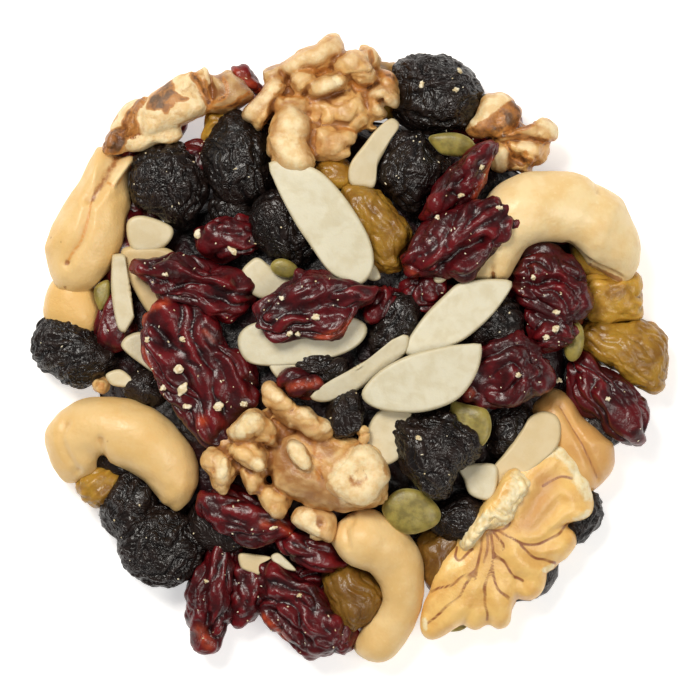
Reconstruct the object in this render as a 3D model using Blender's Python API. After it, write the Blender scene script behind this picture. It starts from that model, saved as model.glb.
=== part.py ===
# A heap of trail mix about 100 mm across and 23 mm high, as it lies on a table with no dish.
# A hidden dome of packed pieces carries the nuts, dried fruit and seeds that show.
# Sizes are in millimetres, with +X to the right and +Y to the back when seen from above.

import math
import random

import bmesh
import bpy
from mathutils import Matrix, Vector

HEAP = "trail_mix_heap"
MM = 0.001
FLOOR_CLEARANCE = 0.15
SMALL_PIECE = 12.4
SHIFT_TO_MIDDLE = Vector((0.52, 0.04, 0.0))

for old in list(bpy.data.objects):
    bpy.data.objects.remove(old, do_unlink=True)

heap_collection = bpy.data.collections.new(HEAP)
pieces = bpy.data.collections.new("pieces_to_fuse")
pieces.hide_render = True
for collection in (heap_collection, pieces):
    bpy.context.scene.collection.children.link(collection)

heap_material = bpy.data.materials.new("trail_mix")
heap_material.use_nodes = True
surface = heap_material.node_tree.nodes["Principled BSDF"]
surface.inputs["Base Color"].default_value = (0.42, 0.27, 0.13, 1.0)
surface.inputs["Roughness"].default_value = 0.5
surface.inputs["Metallic"].default_value = 0.0


def turned(heading, pitch, roll):
    """Rolled about its own length, lifted at its far end by pitch, then turned to its heading, in degrees."""
    return (
        Matrix.Rotation(math.radians(heading), 4, "Z")
        @ Matrix.Rotation(math.radians(-pitch), 4, "Y")
        @ Matrix.Rotation(math.radians(roll), 4, "X")
    )


def keep(bm, name):
    """Lifts the piece clear of the table if it dips into it, and adds it to the pieces to fuse."""
    bmesh.ops.recalc_face_normals(bm, faces=bm.faces)
    lowest = min(vertex.co.z for vertex in bm.verts)
    lift = max(0.0, FLOOR_CLEARANCE - lowest)
    for vertex in bm.verts:
        vertex.co = (vertex.co + Vector((0.0, 0.0, lift)) + SHIFT_TO_MIDDLE) * MM
    mesh = bpy.data.meshes.new(name)
    bm.to_mesh(mesh)
    bm.free()
    piece = bpy.data.objects.new(name, mesh)
    piece.display_type = "WIRE"
    piece.hide_render = True
    pieces.objects.link(piece)


def pebble(name, at, size, angles=(0, 0, 0), unevenness=0.05):
    """An uneven round piece of the given length, width and thickness."""
    bm = bmesh.new()
    if max(size) < SMALL_PIECE:
        bmesh.ops.create_uvsphere(bm, u_segments=7, v_segments=4, radius=0.5)
    else:
        bmesh.ops.create_icosphere(bm, subdivisions=2, radius=0.5)
    chance = random.Random(name)
    for vertex in bm.verts:
        vertex.co *= 1.0 + chance.uniform(-unevenness, unevenness)
        vertex.co = Vector(a * b for a, b in zip(vertex.co, size))
    bm.transform(Matrix.Translation(at) @ turned(*angles))
    keep(bm, name)


def flake(name, at, size, angles=(0, 0, 0), bend=0.0, point=0.0):
    """A thin oval slice, bent along its length and narrowed toward its far end."""
    bm = bmesh.new()
    bmesh.ops.create_cone(
        bm, cap_ends=True, cap_tris=True, segments=10, radius1=0.5, radius2=0.5, depth=1.0
    )
    for vertex in bm.verts:
        along, across, up = vertex.co
        narrowed = 1.0 - point * (along + 0.5)
        vertex.co = Vector(
            (along * size[0], across * size[1] * narrowed, up * size[2] - bend * 4.0 * along * along)
        )
    bm.transform(Matrix.Translation(at) @ turned(*angles))
    keep(bm, name)


def domed(name, outline, middle, low, high, tilt=(0.0, 0.0)):
    """A pillow with a hand-drawn outline round its middle, leaning by the two slopes along X and Y."""
    bm = bmesh.new()
    count = len(outline)
    bmesh.ops.create_uvsphere(bm, u_segments=count, v_segments=4, radius=1.0)
    centre = Vector(middle)
    for vertex in bm.verts:
        out = math.hypot(vertex.co.x, vertex.co.y)
        step = round(math.atan2(vertex.co.y, vertex.co.x) / math.tau * count) % count
        edge = Vector(outline[step]) - centre
        swell = out**0.5 if out > 0.01 else 0.0
        height = 0.5 * (high + low) + 0.5 * (high - low) * vertex.co.z
        flat = edge * swell
        lean = tilt[0] * flat.x + tilt[1] * flat.y
        vertex.co = Vector((centre.x + flat.x, centre.y + flat.y, height + lean))
    keep(bm, name)


def horn(name, line, rounds=8):
    """A curved nut: rings of the given radius round the points (x, y, z, radius) of its middle line."""
    bm = bmesh.new()
    steps = len(line) - 1
    bmesh.ops.create_uvsphere(bm, u_segments=rounds, v_segments=steps, radius=1.0)
    for vertex in bm.verts:
        place = steps - round(math.acos(max(-1.0, min(1.0, vertex.co.z))) / math.pi * steps)
        x, y, z, radius = line[place]
        before = Vector(line[max(place - 1, 0)][:3])
        after = Vector(line[min(place + 1, steps)][:3])
        along = (after - before).normalized()
        side = along.cross(Vector((0.0, 0.0, 1.0))).normalized()
        upward = side.cross(along)
        around = Vector((vertex.co.x, vertex.co.y))
        if around.length > 0.01:
            around.normalize()
        vertex.co = Vector((x, y, z)) + (side * around.x + upward * around.y) * radius
    keep(bm, name)


# The core: a low dome of the pieces that can't be seen, narrower than the heap all round.
CORE_RADII = (41, 41, 41, 40, 38, 38, 37, 36, 37, 40, 42, 42, 41, 40, 39, 39, 38, 39, 40, 41)
CORE_HEIGHT = 15.5


def build_core():
    bm = bmesh.new()
    count = len(CORE_RADII)
    bmesh.ops.create_uvsphere(bm, u_segments=count, v_segments=10, radius=1.0)
    bmesh.ops.bisect_plane(
        bm,
        geom=list(bm.verts) + list(bm.edges) + list(bm.faces),
        plane_co=(0.0, 0.0, 0.0),
        plane_no=(0.0, 0.0, -1.0),
        clear_outer=True,
    )
    bmesh.ops.holes_fill(bm, edges=bm.edges)
    for vertex in bm.verts:
        step = round(math.atan2(vertex.co.y, vertex.co.x) / math.tau * count) % count
        reach = CORE_RADII[step] * (0.94 if vertex.co.z < 0.01 else 1.0)
        vertex.co = Vector((vertex.co.x * reach, vertex.co.y * reach, vertex.co.z * CORE_HEIGHT))
    bmesh.ops.recalc_face_normals(bm, faces=bm.faces)
    bm.transform(Matrix.Translation(SHIFT_TO_MIDDLE))
    bm.transform(Matrix.Scale(MM, 4))
    mesh = bpy.data.meshes.new(HEAP)
    bm.to_mesh(mesh)
    bm.free()
    core = bpy.data.objects.new(HEAP, mesh)
    heap_collection.objects.link(core)
    return core


# Cashews, each as its middle line from tip to tip.
CASHEWS = {
    "cashew_right": (
        (22.9, 10.8, 13.5, 0.0),
        (22.3, 12.6, 13.6, 2.6),
        (22.8, 16.2, 14.0, 3.9),
        (26.0, 20.8, 14.0, 4.9),
        (32.0, 22.9, 13.0, 5.6),
        (38.0, 21.6, 11.4, 5.4),
        (42.0, 17.6, 9.6, 4.9),
        (42.7, 13.2, 8.6, 3.6),
        (42.4, 10.9, 8.4, 0.0),
    ),
    "cashew_left": (
        (-42.6, -21.4, 5.6, 0.0),
        (-43.6, -19.6, 5.8, 3.4),
        (-44.4, -16.0, 6.4, 4.6),
        (-42.2, -12.8, 7.4, 5.1),
        (-37.6, -12.2, 8.4, 5.2),
        (-32.2, -14.6, 8.8, 5.3),
        (-28.8, -19.2, 8.6, 4.7),
        (-28.0, -23.4, 8.2, 3.2),
        (-28.0, -25.6, 8.0, 0.0),
    ),
    "cashew_front": (
        (-2.9, -28.0, 11.6, 0.0),
        (-1.2, -28.8, 11.6, 3.0),
        (2.0, -30.0, 11.4, 4.2),
        (5.8, -32.6, 10.4, 4.4),
        (7.9, -36.8, 8.8, 3.9),
        (7.9, -41.4, 7.0, 3.6),
        (5.8, -45.6, 5.4, 3.3),
        (2.9, -47.6, 4.6, 2.5),
        (0.6, -47.8, 4.4, 0.0),
    ),
}


def build_cashews():
    for name, line in CASHEWS.items():
        horn(name, line)
    split_outline = (
        (-34.7, 22.2),
        (-34.7, 26.6),
        (-34.7, 30.7),
        (-37.1, 32.4),
        (-40.3, 32.6),
        (-43.2, 29.6),
        (-46.4, 24.0),
        (-48.4, 20.5),
        (-49.0, 16.3),
        (-47.0, 10.8),
        (-44.5, 9.0),
        (-41.9, 9.4),
        (-39.0, 11.5),
        (-36.6, 16.5),
    )
    domed("cashew_split", split_outline, (-41.6, 20.6), 0.6, 11.6)
    pebble("cashew_end", (-44.6, 8.4, 4.4), (9.2, 10.4, 8.4))


# Walnut pieces, each a cluster of rounded lobes: place, size and heading.
WALNUT_LOBES = {
    "walnut_back": (
        ((-9.2, 32.6, 18.0), (8.2, 10.6, 8.0), 10),
        ((-13.6, 39.8, 14.6), (11.4, 6.0, 6.4), 38),
        ((-4.6, 46.6, 13.0), (10.6, 6.4, 7.0), 4),
        ((0.4, 44.6, 13.6), (7.0, 7.0, 7.0), 0),
        ((-7.6, 43.0, 15.4), (6.6, 6.6, 7.0), 0),
        ((5.2, 40.6, 13.0), (5.8, 8.0, 6.4), -20),
        ((-3.2, 37.0, 14.0), (13.0, 11.0, 9.0), 0),
        ((2.2, 36.2, 13.2), (8.0, 7.6, 7.6), 0),
        ((-2.4, 33.0, 15.2), (8.0, 6.8, 7.0), 20),
    ),
    "walnut_left": (
        ((-38.0, 33.4, 8.8), (5.4, 4.4, 5.4), 20),
        ((-34.2, 36.8, 9.4), (9.4, 6.6, 7.6), 35),
        ((-30.2, 39.6, 9.2), (9.6, 6.8, 7.6), 33),
        ((-25.8, 42.0, 8.8), (9.4, 6.6, 7.0), 30),
        ((-29.8, 34.8, 8.2), (9.4, 4.8, 6.0), -10),
        ((-18.8, 41.2, 8.8), (8.2, 7.2, 7.8), 10),
    ),
    "walnut_right": (
        ((23.2, 37.2, 8.6), (9.8, 7.4, 7.6), 12),
        ((28.2, 32.4, 8.4), (11.0, 8.2, 8.0), 30),
        ((31.2, 35.8, 8.2), (5.6, 5.2, 5.2), 30),
        ((25.4, 29.8, 8.0), (6.6, 6.0, 6.2), 0),
    ),
    "walnut_middle": (
        ((-11.4, -8.2, 20.6), (9.6, 5.4, 5.4), -47),
        ((-6.6, -9.6, 19.6), (5.6, 5.4, 5.6), 0),
        ((-3.0, -12.8, 19.2), (5.8, 5.6, 6.0), 0),
        ((-16.0, -11.9, 18.6), (6.6, 6.6, 6.4), 0),
        ((-15.2, -16.8, 18.2), (7.0, 6.8, 6.8), 0),
        ((-20.8, -19.2, 15.4), (6.8, 6.6, 6.2), 0),
        ((-8.2, -16.4, 20.4), (7.0, 5.4, 5.6), 45),
        ((-7.4, -19.2, 17.4), (13.0, 10.4, 8.6), 0),
        ((1.0, -20.0, 17.4), (11.0, 10.4, 6.8), 0),
        ((-12.4, -24.4, 15.0), (6.2, 5.6, 5.6), 20),
        ((-5.9, -27.4, 13.4), (7.2, 6.2, 6.4), 0),
    ),
}
FAN_OUTLINE = (
    (38.4, -25.0),
    (37.2, -19.8),
    (34.8, -15.8),
    (31.0, -15.4),
    (28.0, -16.2),
    (24.8, -18.6),
    (19.4, -24.6),
    (16.2, -30.4),
    (14.0, -35.6),
    (11.6, -42.2),
    (11.6, -45.2),
    (14.0, -45.8),
    (18.6, -43.8),
    (22.0, -44.2),
    (25.6, -43.6),
    (26.4, -39.6),
    (29.6, -39.2),
    (32.4, -35.2),
    (35.2, -31.2),
    (35.4, -27.8),
)


def build_walnuts():
    for name, lobes in WALNUT_LOBES.items():
        for number, (at, size, heading) in enumerate(lobes):
            pebble(f"{name}_{number}", at, size, (heading, 0, 0), 0.07)
    domed("walnut_fan", FAN_OUTLINE, (24.8, -30.6), 3.6, 11.0, (-0.16, 0.16))
    pebble("walnut_smooth", (35.8, -14.0, 7.0), (17.6, 12.6, 10.0), (-60, 0, 0))
    pebble("walnut_bit_left", (-39.8, -5.6, 6.0), (3.6, 4.0, 3.4), (0, 0, 0))
    pebble("walnut_bit_middle", (2.0, -13.4, 17.6), (2.6, 3.0, 2.6), (0, 0, 0))


# Round dried berries: place, size and angles.
BERRIES = (
    ((-44.3, -0.2, 5.0), (14.8, 12.6, 9.4), (-8, 0, 0)),
    ((-28.8, 26.2, 8.6), (14.8, 12.9, 11.4), (90, 0, 0)),
    ((-17.6, 30.2, 11.4), (14.8, 10.9, 10.8), (100, 0, 0)),
    ((13.9, 41.1, 8.6), (15.0, 13.2, 10.0), (-12, 0, 0)),
    ((10.2, 27.6, 11.6), (15.0, 12.6, 11.4), (100, 0, 0)),
    ((-10.7, 20.0, 13.0), (13.4, 11.2, 10.4), (95, 0, 0)),
    ((-30.2, -31.5, 5.2), (14.0, 13.8, 10.0), (0, 0, 0)),
    ((-34.4, -24.6, 5.0), (11.6, 9.4, 9.0), (80, 0, 0)),
    ((13.4, -17.4, 14.6), (16.2, 14.4, 11.6), (100, 0, 0)),
    ((22.2, 4.8, 13.6), (10.8, 8.0, 8.0), (-10, 0, 0)),
    ((25.9, -12.8, 11.8), (10.0, 8.6, 9.0), (70, 0, 0)),
    ((-0.8, -10.4, 17.2), (7.4, 5.8, 6.0), (80, 0, 0)),
    ((17.6, -27.0, 9.4), (10.0, 7.4, 8.0), (10, 0, 0)),
    ((35.8, -26.4, 4.6), (9.6, 8.0, 7.6), (60, 0, 0)),
    ((-32.4, -6.0, 7.6), (7.4, 6.4, 7.0), (0, 0, 0)),
    ((-19.5, 22.6, 10.4), (7.0, 5.8, 6.4), (0, 0, 0)),
    ((7.2, 3.6, 15.0), (11.4, 7.4, 7.4), (75, 0, 0)),
    ((-4.4, -2.8, 16.0), (8.4, 5.4, 6.0), (-10, 0, 0)),
    ((-2.0, 42.0, 5.0), (13.0, 12.0, 9.0), (20, 0, 0)),
    ((27.0, 34.0, 4.6), (11.0, 10.0, 8.0), (0, 0, 0)),
    ((38.4, -13.0, 4.6), (12.0, 10.0, 8.4), (40, 0, 0)),
    ((27.6, -35.0, 4.4), (12.0, 11.0, 8.0), (0, 0, 0)),
    ((-35.8, -15.6, 4.8), (12.0, 11.0, 8.4), (0, 0, 0)),
    ((-20.0, -27.4, 6.0), (12.0, 11.0, 9.0), (30, 0, 0)),
)

# Golden raisins: place, size and angles.
RAISINS = (
    ((4.4, 19.4, 14.2), (14.0, 10.8, 8.6), (118, 0, 0)),
    ((-2.8, 27.8, 12.8), (6.6, 5.6, 6.0), (0, 0, 0)),
    ((42.6, 8.4, 5.6), (10.2, 9.0, 8.4), (40, 0, 0)),
    ((43.4, -1.2, 5.2), (15.6, 11.6, 9.4), (-28, 0, 0)),
    ((0.3, -39.2, 6.0), (11.6, 9.8, 8.6), (-60, 0, 0)),
    ((13.6, -33.4, 6.4), (13.4, 8.6, 8.4), (80, 0, 0)),
    ((-39.6, -21.4, 4.6), (8.0, 7.4, 6.6), (0, 0, 0)),
    ((-21.3, 35.9, 7.4), (6.6, 4.8, 5.4), (20, 0, 0)),
    ((7.0, 41.6, 4.8), (12.0, 8.6, 8.0), (-30, 0, 0)),
    ((40.0, 16.0, 4.4), (12.0, 9.0, 8.0), (-60, 0, 0)),
    ((21.0, -39.0, 4.2), (12.0, 8.6, 7.6), (20, 0, 0)),
)

# Dried cranberries: place, size and angles.
CRANBERRIES = (
    ((-24.8, 9.8, 14.0), (21.6, 9.6, 6.8), (-11, 0, 0)),
    ((-5.2, 6.9, 19.6), (20.8, 9.8, 6.6), (4, 0, 0)),
    ((18.4, 26.6, 16.6), (19.4, 6.8, 6.4), (50, 0, 0)),
    ((12.0, 9.4, 13.6), (8.4, 7.4, 6.8), (0, 0, 0)),
    ((5.1, 7.0, 15.0), (6.4, 6.2, 6.0), (0, 0, 0)),
    ((32.2, 10.6, 11.6), (13.4, 12.2, 9.0), (60, 0, 0)),
    ((31.6, 3.6, 12.2), (9.4, 6.8, 6.4), (-10, 0, 0)),
    ((24.6, -2.6, 13.4), (16.0, 11.8, 9.4), (25, 0, 0)),
    ((41.0, -8.2, 6.8), (15.6, 8.8, 8.6), (-47, 0, 0)),
    ((-22.0, -38.4, 4.8), (19.4, 8.2, 8.0), (80, 0, 0)),
    ((-6.9, -41.4, 5.8), (17.6, 12.0, 8.6), (-42, 0, 0)),
    ((-16.2, -26.4, 9.8), (15.4, 7.4, 7.0), (-12, 0, 0)),
    ((-5.2, -32.4, 8.4), (9.4, 6.4, 6.4), (-18, 0, 0)),
    ((-19.8, 18.2, 12.4), (10.6, 6.8, 6.8), (-8, 0, 0)),
    ((-7.4, -5.6, 17.2), (7.0, 4.2, 4.8), (0, 0, 0)),
    ((-16.0, 42.6, 6.6), (6.8, 4.8, 5.4), (-45, 0, 0)),
    ((-37.4, 4.2, 6.6), (9.0, 7.6, 7.4), (80, 0, 0)),
    ((-24.4, 31.4, 7.4), (7.6, 6.2, 6.4), (60, 0, 0)),
    ((-17.0, -38.0, 4.2), (11.0, 7.2, 7.0), (80, 0, 0)),
    ((-9.6, 40.4, 4.4), (14.0, 9.0, 7.6), (30, 0, 0)),
    ((20.4, 37.4, 4.4), (13.0, 8.6, 7.4), (-20, 0, 0)),
    ((35.0, 22.0, 4.6), (15.0, 9.0, 8.0), (-35, 0, 0)),
    ((-30.6, 36.4, 4.4), (12.0, 8.0, 7.0), (35, 0, 0)),
    ((-36.0, 14.4, 4.4), (13.0, 8.8, 7.6), (70, 0, 0)),
    ((4.0, -43.0, 3.8), (11.0, 7.0, 6.8), (-70, 0, 0)),
)
WIDE_CRANBERRY = (
    (-16.0, 0.2),
    (-19.4, 4.4),
    (-22.4, 5.8),
    (-28.0, 7.4),
    (-32.4, 6.0),
    (-33.2, 2.6),
    (-32.2, -1.0),
    (-30.2, -5.8),
    (-26.8, -9.2),
    (-23.2, -12.2),
    (-19.6, -15.4),
    (-17.6, -10.8),
    (-14.6, -9.4),
    (-14.4, -5.6),
)
FOLDED_CRANBERRY = (
    (26.6, 20.6),
    (25.2, 23.2),
    (22.2, 24.6),
    (18.6, 24.0),
    (15.8, 22.6),
    (12.6, 19.8),
    (9.8, 17.6),
    (8.3, 15.6),
    (8.4, 13.2),
    (10.0, 11.6),
    (13.0, 12.2),
    (16.2, 11.8),
    (19.0, 12.6),
    (21.8, 14.8),
    (24.2, 16.8),
    (25.8, 18.4),
)


def build_fruit():
    kinds = (("berry", BERRIES, 0.05), ("raisin", RAISINS, 0.07), ("cranberry", CRANBERRIES, 0.07))
    for kind, rows, unevenness in kinds:
        for number, (at, size, angles) in enumerate(rows):
            pebble(f"{kind}_{number}", at, size, angles, unevenness)
    domed("cranberry_wide", WIDE_CRANBERRY, (-24.0, -2.4), 11.6, 17.0, (0.05, 0.04))
    domed("cranberry_folded", FOLDED_CRANBERRY, (17.2, 18.2), 14.6, 20.8)


# Sliced almonds: place, size, angles, bend and how far the far end narrows.
ALMONDS = (
    ((-4.8, 20.2, 19.4), (25.0, 8.2, 1.5), (127, 0, 0), 0.8, 0.2),
    ((3.8, 12.6, 15.6), (4.6, 4.0, 1.4), (20, 0, 0), 0.0, 0.0),
    ((-7.4, 0.9, 17.6), (20.6, 7.0, 1.5), (4, 0, 0), 1.0, 0.1),
    ((-13.2, 11.2, 14.6), (9.4, 6.6, 1.5), (-25, 0, 0), 0.3, 0.0),
    ((-10.6, -3.4, 16.4), (5.4, 3.2, 1.4), (5, 0, 0), 0.2, 0.4),
    ((17.2, 5.2, 17.8), (19.8, 6.8, 1.5), (33, 0, 0), 0.8, 0.3),
    ((11.6, -4.4, 19.6), (20.2, 8.2, 1.5), (23, 0, 0), 0.8, 0.1),
    ((1.4, -3.2, 18.8), (19.2, 5.6, 1.5), (34, 0, 50), 0.6, 0.3),
    ((6.4, -13.8, 15.8), (9.2, 7.2, 1.5), (70, 0, 0), 0.3, 0.2),
    ((3.8, 31.2, 13.8), (12.4, 4.8, 1.5), (58, 0, 30), 1.2, 0.3),
    ((27.8, -16.0, 13.2), (17.8, 6.8, 1.5), (49, 0, 0), 0.6, 0.2),
    ((20.4, -21.2, 11.4), (6.6, 5.6, 1.5), (-30, 0, 0), 0.2, 0.2),
    ((-32.2, 18.8, 9.4), (8.0, 5.4, 1.5), (0, 0, 0), 0.3, 0.2),
    ((-36.4, 9.4, 9.8), (12.6, 3.8, 1.5), (97, 0, 30), 0.3, 0.3),
    ((-32.4, 11.4, 9.0), (12.6, 6.4, 2.0), (-52, 0, 0), 0.3, 0.2),
    ((-33.8, -0.2, 9.2), (7.4, 6.0, 1.5), (-40, 0, 0), 0.2, 0.1),
    ((-36.4, -4.6, 7.6), (6.4, 4.0, 1.5), (10, 0, 0), 0.2, 0.3),
    ((-15.8, -33.9, 7.6), (5.8, 4.2, 1.5), (-20, 0, 0), 0.2, 0.2),
)

# Green pumpkin seeds: place, size and angles.
SEEDS = (
    ((16.2, 32.8, 13.4), (7.6, 4.0, 2.4), (-14, 0, 0)),
    ((-40.0, 8.4, 7.4), (5.4, 3.4, 2.0), (100, 0, 0)),
    ((9.8, -25.6, 12.2), (9.2, 7.4, 3.0), (-8, 0, 0)),
    ((19.2, -10.8, 13.4), (9.6, 6.6, 2.6), (-50, 0, 0)),
    ((35.6, 1.2, 8.6), (6.0, 3.2, 2.2), (80, 0, 0)),
    ((17.1, -43.4, 2.0), (4.6, 3.8, 2.0), (20, 0, 0)),
    ((-10.4, 13.1, 15.4), (4.6, 3.0, 2.0), (-15, 0, 0)),
)


def build_slices_and_seeds():
    for number, (at, size, angles, bend, point) in enumerate(ALMONDS):
        flake(f"almond_{number}", at, size, angles, bend, point)
    for number, (at, size, angles) in enumerate(SEEDS):
        pebble(f"seed_{number}", at, size, angles, 0.0)


def connected_groups(bm):
    """The faces of each shell that shares no edge with another."""
    waiting = set(bm.faces)
    groups = []
    while waiting:
        front = [waiting.pop()]
        group = list(front)
        while front:
            face = front.pop()
            for edge in face.edges:
                for other in edge.link_faces:
                    if other in waiting:
                        waiting.remove(other)
                        front.append(other)
                        group.append(other)
        groups.append(group)
    return groups


def fuse(core):
    """Joins every piece to the core, and keeps the outer shell alone."""
    joint = core.modifiers.new("joined", "BOOLEAN")
    joint.operation = "UNION"
    joint.operand_type = "COLLECTION"
    joint.collection = pieces
    joint.solver = "EXACT"
    joint.use_self = True
    graph = bpy.context.evaluated_depsgraph_get()
    joined = bpy.data.meshes.new_from_object(core.evaluated_get(graph))
    core.modifiers.remove(joint)
    for piece in list(pieces.objects):
        bpy.data.objects.remove(piece, do_unlink=True)
    bm = bmesh.new()
    bm.from_mesh(joined)
    groups = connected_groups(bm)
    groups.sort(key=len)
    spare = [face for group in groups[:-1] for face in group]
    bmesh.ops.delete(bm, geom=spare, context="FACES")
    bmesh.ops.triangulate(bm, faces=bm.faces)
    bm.to_mesh(joined)
    bm.free()
    joined.materials.clear()
    joined.materials.append(heap_material)
    joined.name = HEAP
    core.data = joined


build_cashews()
build_walnuts()
build_fruit()
build_slices_and_seeds()
heap = build_core()
fuse(heap)
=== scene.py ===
import itertools
import math

import bmesh
import bpy
import numpy as np
from mathutils import Matrix, Vector


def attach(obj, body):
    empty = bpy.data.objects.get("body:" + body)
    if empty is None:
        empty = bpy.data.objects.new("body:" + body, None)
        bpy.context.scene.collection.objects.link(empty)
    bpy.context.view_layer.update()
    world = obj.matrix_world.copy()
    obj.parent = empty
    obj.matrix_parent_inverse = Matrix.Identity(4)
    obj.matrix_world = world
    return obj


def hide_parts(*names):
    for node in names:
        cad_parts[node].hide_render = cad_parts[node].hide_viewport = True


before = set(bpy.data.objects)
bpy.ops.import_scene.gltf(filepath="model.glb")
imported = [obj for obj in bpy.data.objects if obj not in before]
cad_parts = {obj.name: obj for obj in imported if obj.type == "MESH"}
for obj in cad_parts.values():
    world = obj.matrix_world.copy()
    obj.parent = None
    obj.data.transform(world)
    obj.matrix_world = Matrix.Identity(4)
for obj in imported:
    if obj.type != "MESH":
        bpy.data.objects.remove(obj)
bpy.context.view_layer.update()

# The view
# The heap is seen from straight above, from a step away, on a plain pale table.
# One wide soft light stands to the upper left and a weaker one to the lower right.
# Sizes of the pieces are in millimetres, with +X to the right and +Y to the back.
MM = 0.001
HEAP_MIDDLE = np.array((0.52, 0.04, 0.0))
PICTURE_WIDTH = 112.0
VIEW_HEIGHT = 1300.0
MID_HEIGHT = 10.0
SENSOR_WIDTH = 36.0
TABLE_WIDTH = 2400.0
SKY_BRIGHTNESS = 0.17
LIGHT_COLOUR = (1.0, 0.965, 0.9)
WHITE = (1.0, 1.0, 1.0, 1.0)
TABLE_GLOW = 0.5


def paint(red, green, blue):
    """A colour given from 0 to 255 as the eye sees it, for a material."""
    seen = [(part / 255.0 + 0.055) / 1.055 for part in (red, green, blue)]
    return (*(part**2.4 for part in seen), 1.0)


def fill(tree, sockets, inputs):
    """Sets each socket to its value, or joins it to an output."""
    for key, value in inputs.items():
        if isinstance(value, bpy.types.NodeSocket):
            tree.links.new(value, sockets[key])
        else:
            sockets[key].default_value = value


def add(tree, kind, inputs=None, **settings):
    """A new node with its settings and its inputs."""
    made = tree.nodes.new(kind)
    for key, value in settings.items():
        setattr(made, key, value)
    fill(tree, made.inputs, inputs or {})
    return made


def new_finish(name):
    """An empty material, its node tree and the place on the piece that its patterns follow."""
    material = bpy.data.materials.new(name)
    material.use_nodes = True
    tree = material.node_tree
    place = add(tree, "ShaderNodeTexCoord").outputs["Object"]
    return material, tree, place


def lumps(tree, place, size, detail=3.0, stretch=0.0, roughness=0.55):
    """Uneven shade from 0 to 1 with lumps of the given size in millimetres."""
    inputs = {
        "Vector": place, "Scale": 1.0 / (size * MM), "Detail": detail,
        "Roughness": roughness, "Distortion": stretch,
    }
    return add(tree, "ShaderNodeTexNoise", inputs).outputs["Fac"]


def between(tree, value, low, high):
    """0 below the low value, 1 above the high one and a soft step between them."""
    inputs = {"Value": value, "From Min": low, "From Max": high}
    made = add(tree, "ShaderNodeMapRange", inputs, interpolation_type="SMOOTHSTEP")
    return made.outputs["Result"]


def sums(tree, operation, first, second):
    return add(tree, "ShaderNodeMath", {0: first, 1: second}, operation=operation).outputs[0]


def tinted(tree, amount, under, over, strength=None):
    """The colour under, going over to the second colour by the amount, or by a given share of it."""
    if strength is not None:
        amount = sums(tree, "MULTIPLY", amount, strength)
    inputs = {0: amount, 6: under, 7: over}
    return add(tree, "ShaderNodeMix", inputs, data_type="RGBA").outputs[2]


def from_shape(tree, name):
    """A value that was worked out with the shape, such as how deep a hollow is."""
    return add(tree, "ShaderNodeAttribute", attribute_name=name).outputs["Fac"]


def relief(tree, height, depth, below=None):
    """Fine relief of the given depth in millimetres, on top of another relief."""
    inputs = {"Height": height, "Distance": depth * MM, "Strength": 1.0}
    if below is not None:
        inputs["Normal"] = below
    return add(tree, "ShaderNodeBump", inputs).outputs["Normal"]


def set_finish(tree, colour, roughness, normal, glow=None, **fixed):
    """The surface itself; glow is how much light goes in, how many millimetres deep, and its three shares."""
    sockets = tree.nodes["Principled BSDF"].inputs
    fill(tree, sockets, {"Base Color": colour, "Roughness": roughness, "Normal": normal})
    if glow:
        fixed.update(Subsurface_Weight=glow[0], Subsurface_Scale=glow[1] * MM, Subsurface_Radius=glow[2])
    fill(tree, sockets, {key.replace("_", " "): value for key, value in fixed.items()})


def pale_table_finish():
    material, tree, place = new_finish("pale_table")
    speckle = lumps(tree, place, 40.0)
    colour = tinted(tree, speckle, (0.93, 0.93, 0.93, 1.0), (0.96, 0.96, 0.96, 1.0))
    set_finish(
        tree, colour, 0.8, relief(tree, speckle, 0.02), Emission_Color=WHITE, Emission_Strength=TABLE_GLOW
    )
    return material


def lay_table():
    bm = bmesh.new()
    bmesh.ops.create_grid(bm, x_segments=8, y_segments=8, size=TABLE_WIDTH / 2 * MM)
    mesh = bpy.data.meshes.new("table")
    bm.to_mesh(mesh)
    bm.free()
    table = bpy.data.objects.new("table", mesh)
    mesh.materials.append(pale_table_finish())
    bpy.context.collection.objects.link(table)


def soft_light(name, toward, distance, width, share):
    """A square light that gives a level white surface this share of full white."""
    way = Vector(toward).normalized()
    lamp = bpy.data.lights.new(name, "AREA")
    lamp.size = width * MM
    lamp.color = LIGHT_COLOUR
    lamp.energy = share * (math.pi * distance * MM) ** 2 / way.z**2
    light = bpy.data.objects.new(name, lamp)
    turn = way.to_track_quat("Z", "Y").to_matrix().to_4x4()
    light.matrix_world = Matrix.Translation(way * distance * MM) @ turn
    bpy.context.collection.objects.link(light)


def set_view():
    lens = bpy.data.cameras.new("camera")
    lens.sensor_width = SENSOR_WIDTH
    lens.lens = SENSOR_WIDTH * (VIEW_HEIGHT - MID_HEIGHT) / PICTURE_WIDTH
    lens.clip_start = 0.05
    lens.clip_end = 10.0
    camera = bpy.data.objects.new("camera", lens)
    camera.location = Vector((HEAP_MIDDLE[0], HEAP_MIDDLE[1], VIEW_HEIGHT)) * MM
    bpy.context.collection.objects.link(camera)
    bpy.context.scene.camera = camera
    sky = bpy.data.worlds.new("soft_sky")
    sky.use_nodes = True
    sockets = sky.node_tree.nodes["Background"].inputs
    fill(sky.node_tree, sockets, {"Color": WHITE, "Strength": SKY_BRIGHTNESS})
    bpy.context.scene.world = sky
    bpy.context.scene.view_settings.view_transform = "Standard"


set_view()
lay_table()
soft_light("main_light", toward=(-0.36, 0.5, 1.0), distance=900.0, width=320.0, share=0.6)
soft_light("second_light", toward=(0.5, -0.25, 1.0), distance=1000.0, width=420.0, share=0.26)


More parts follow.
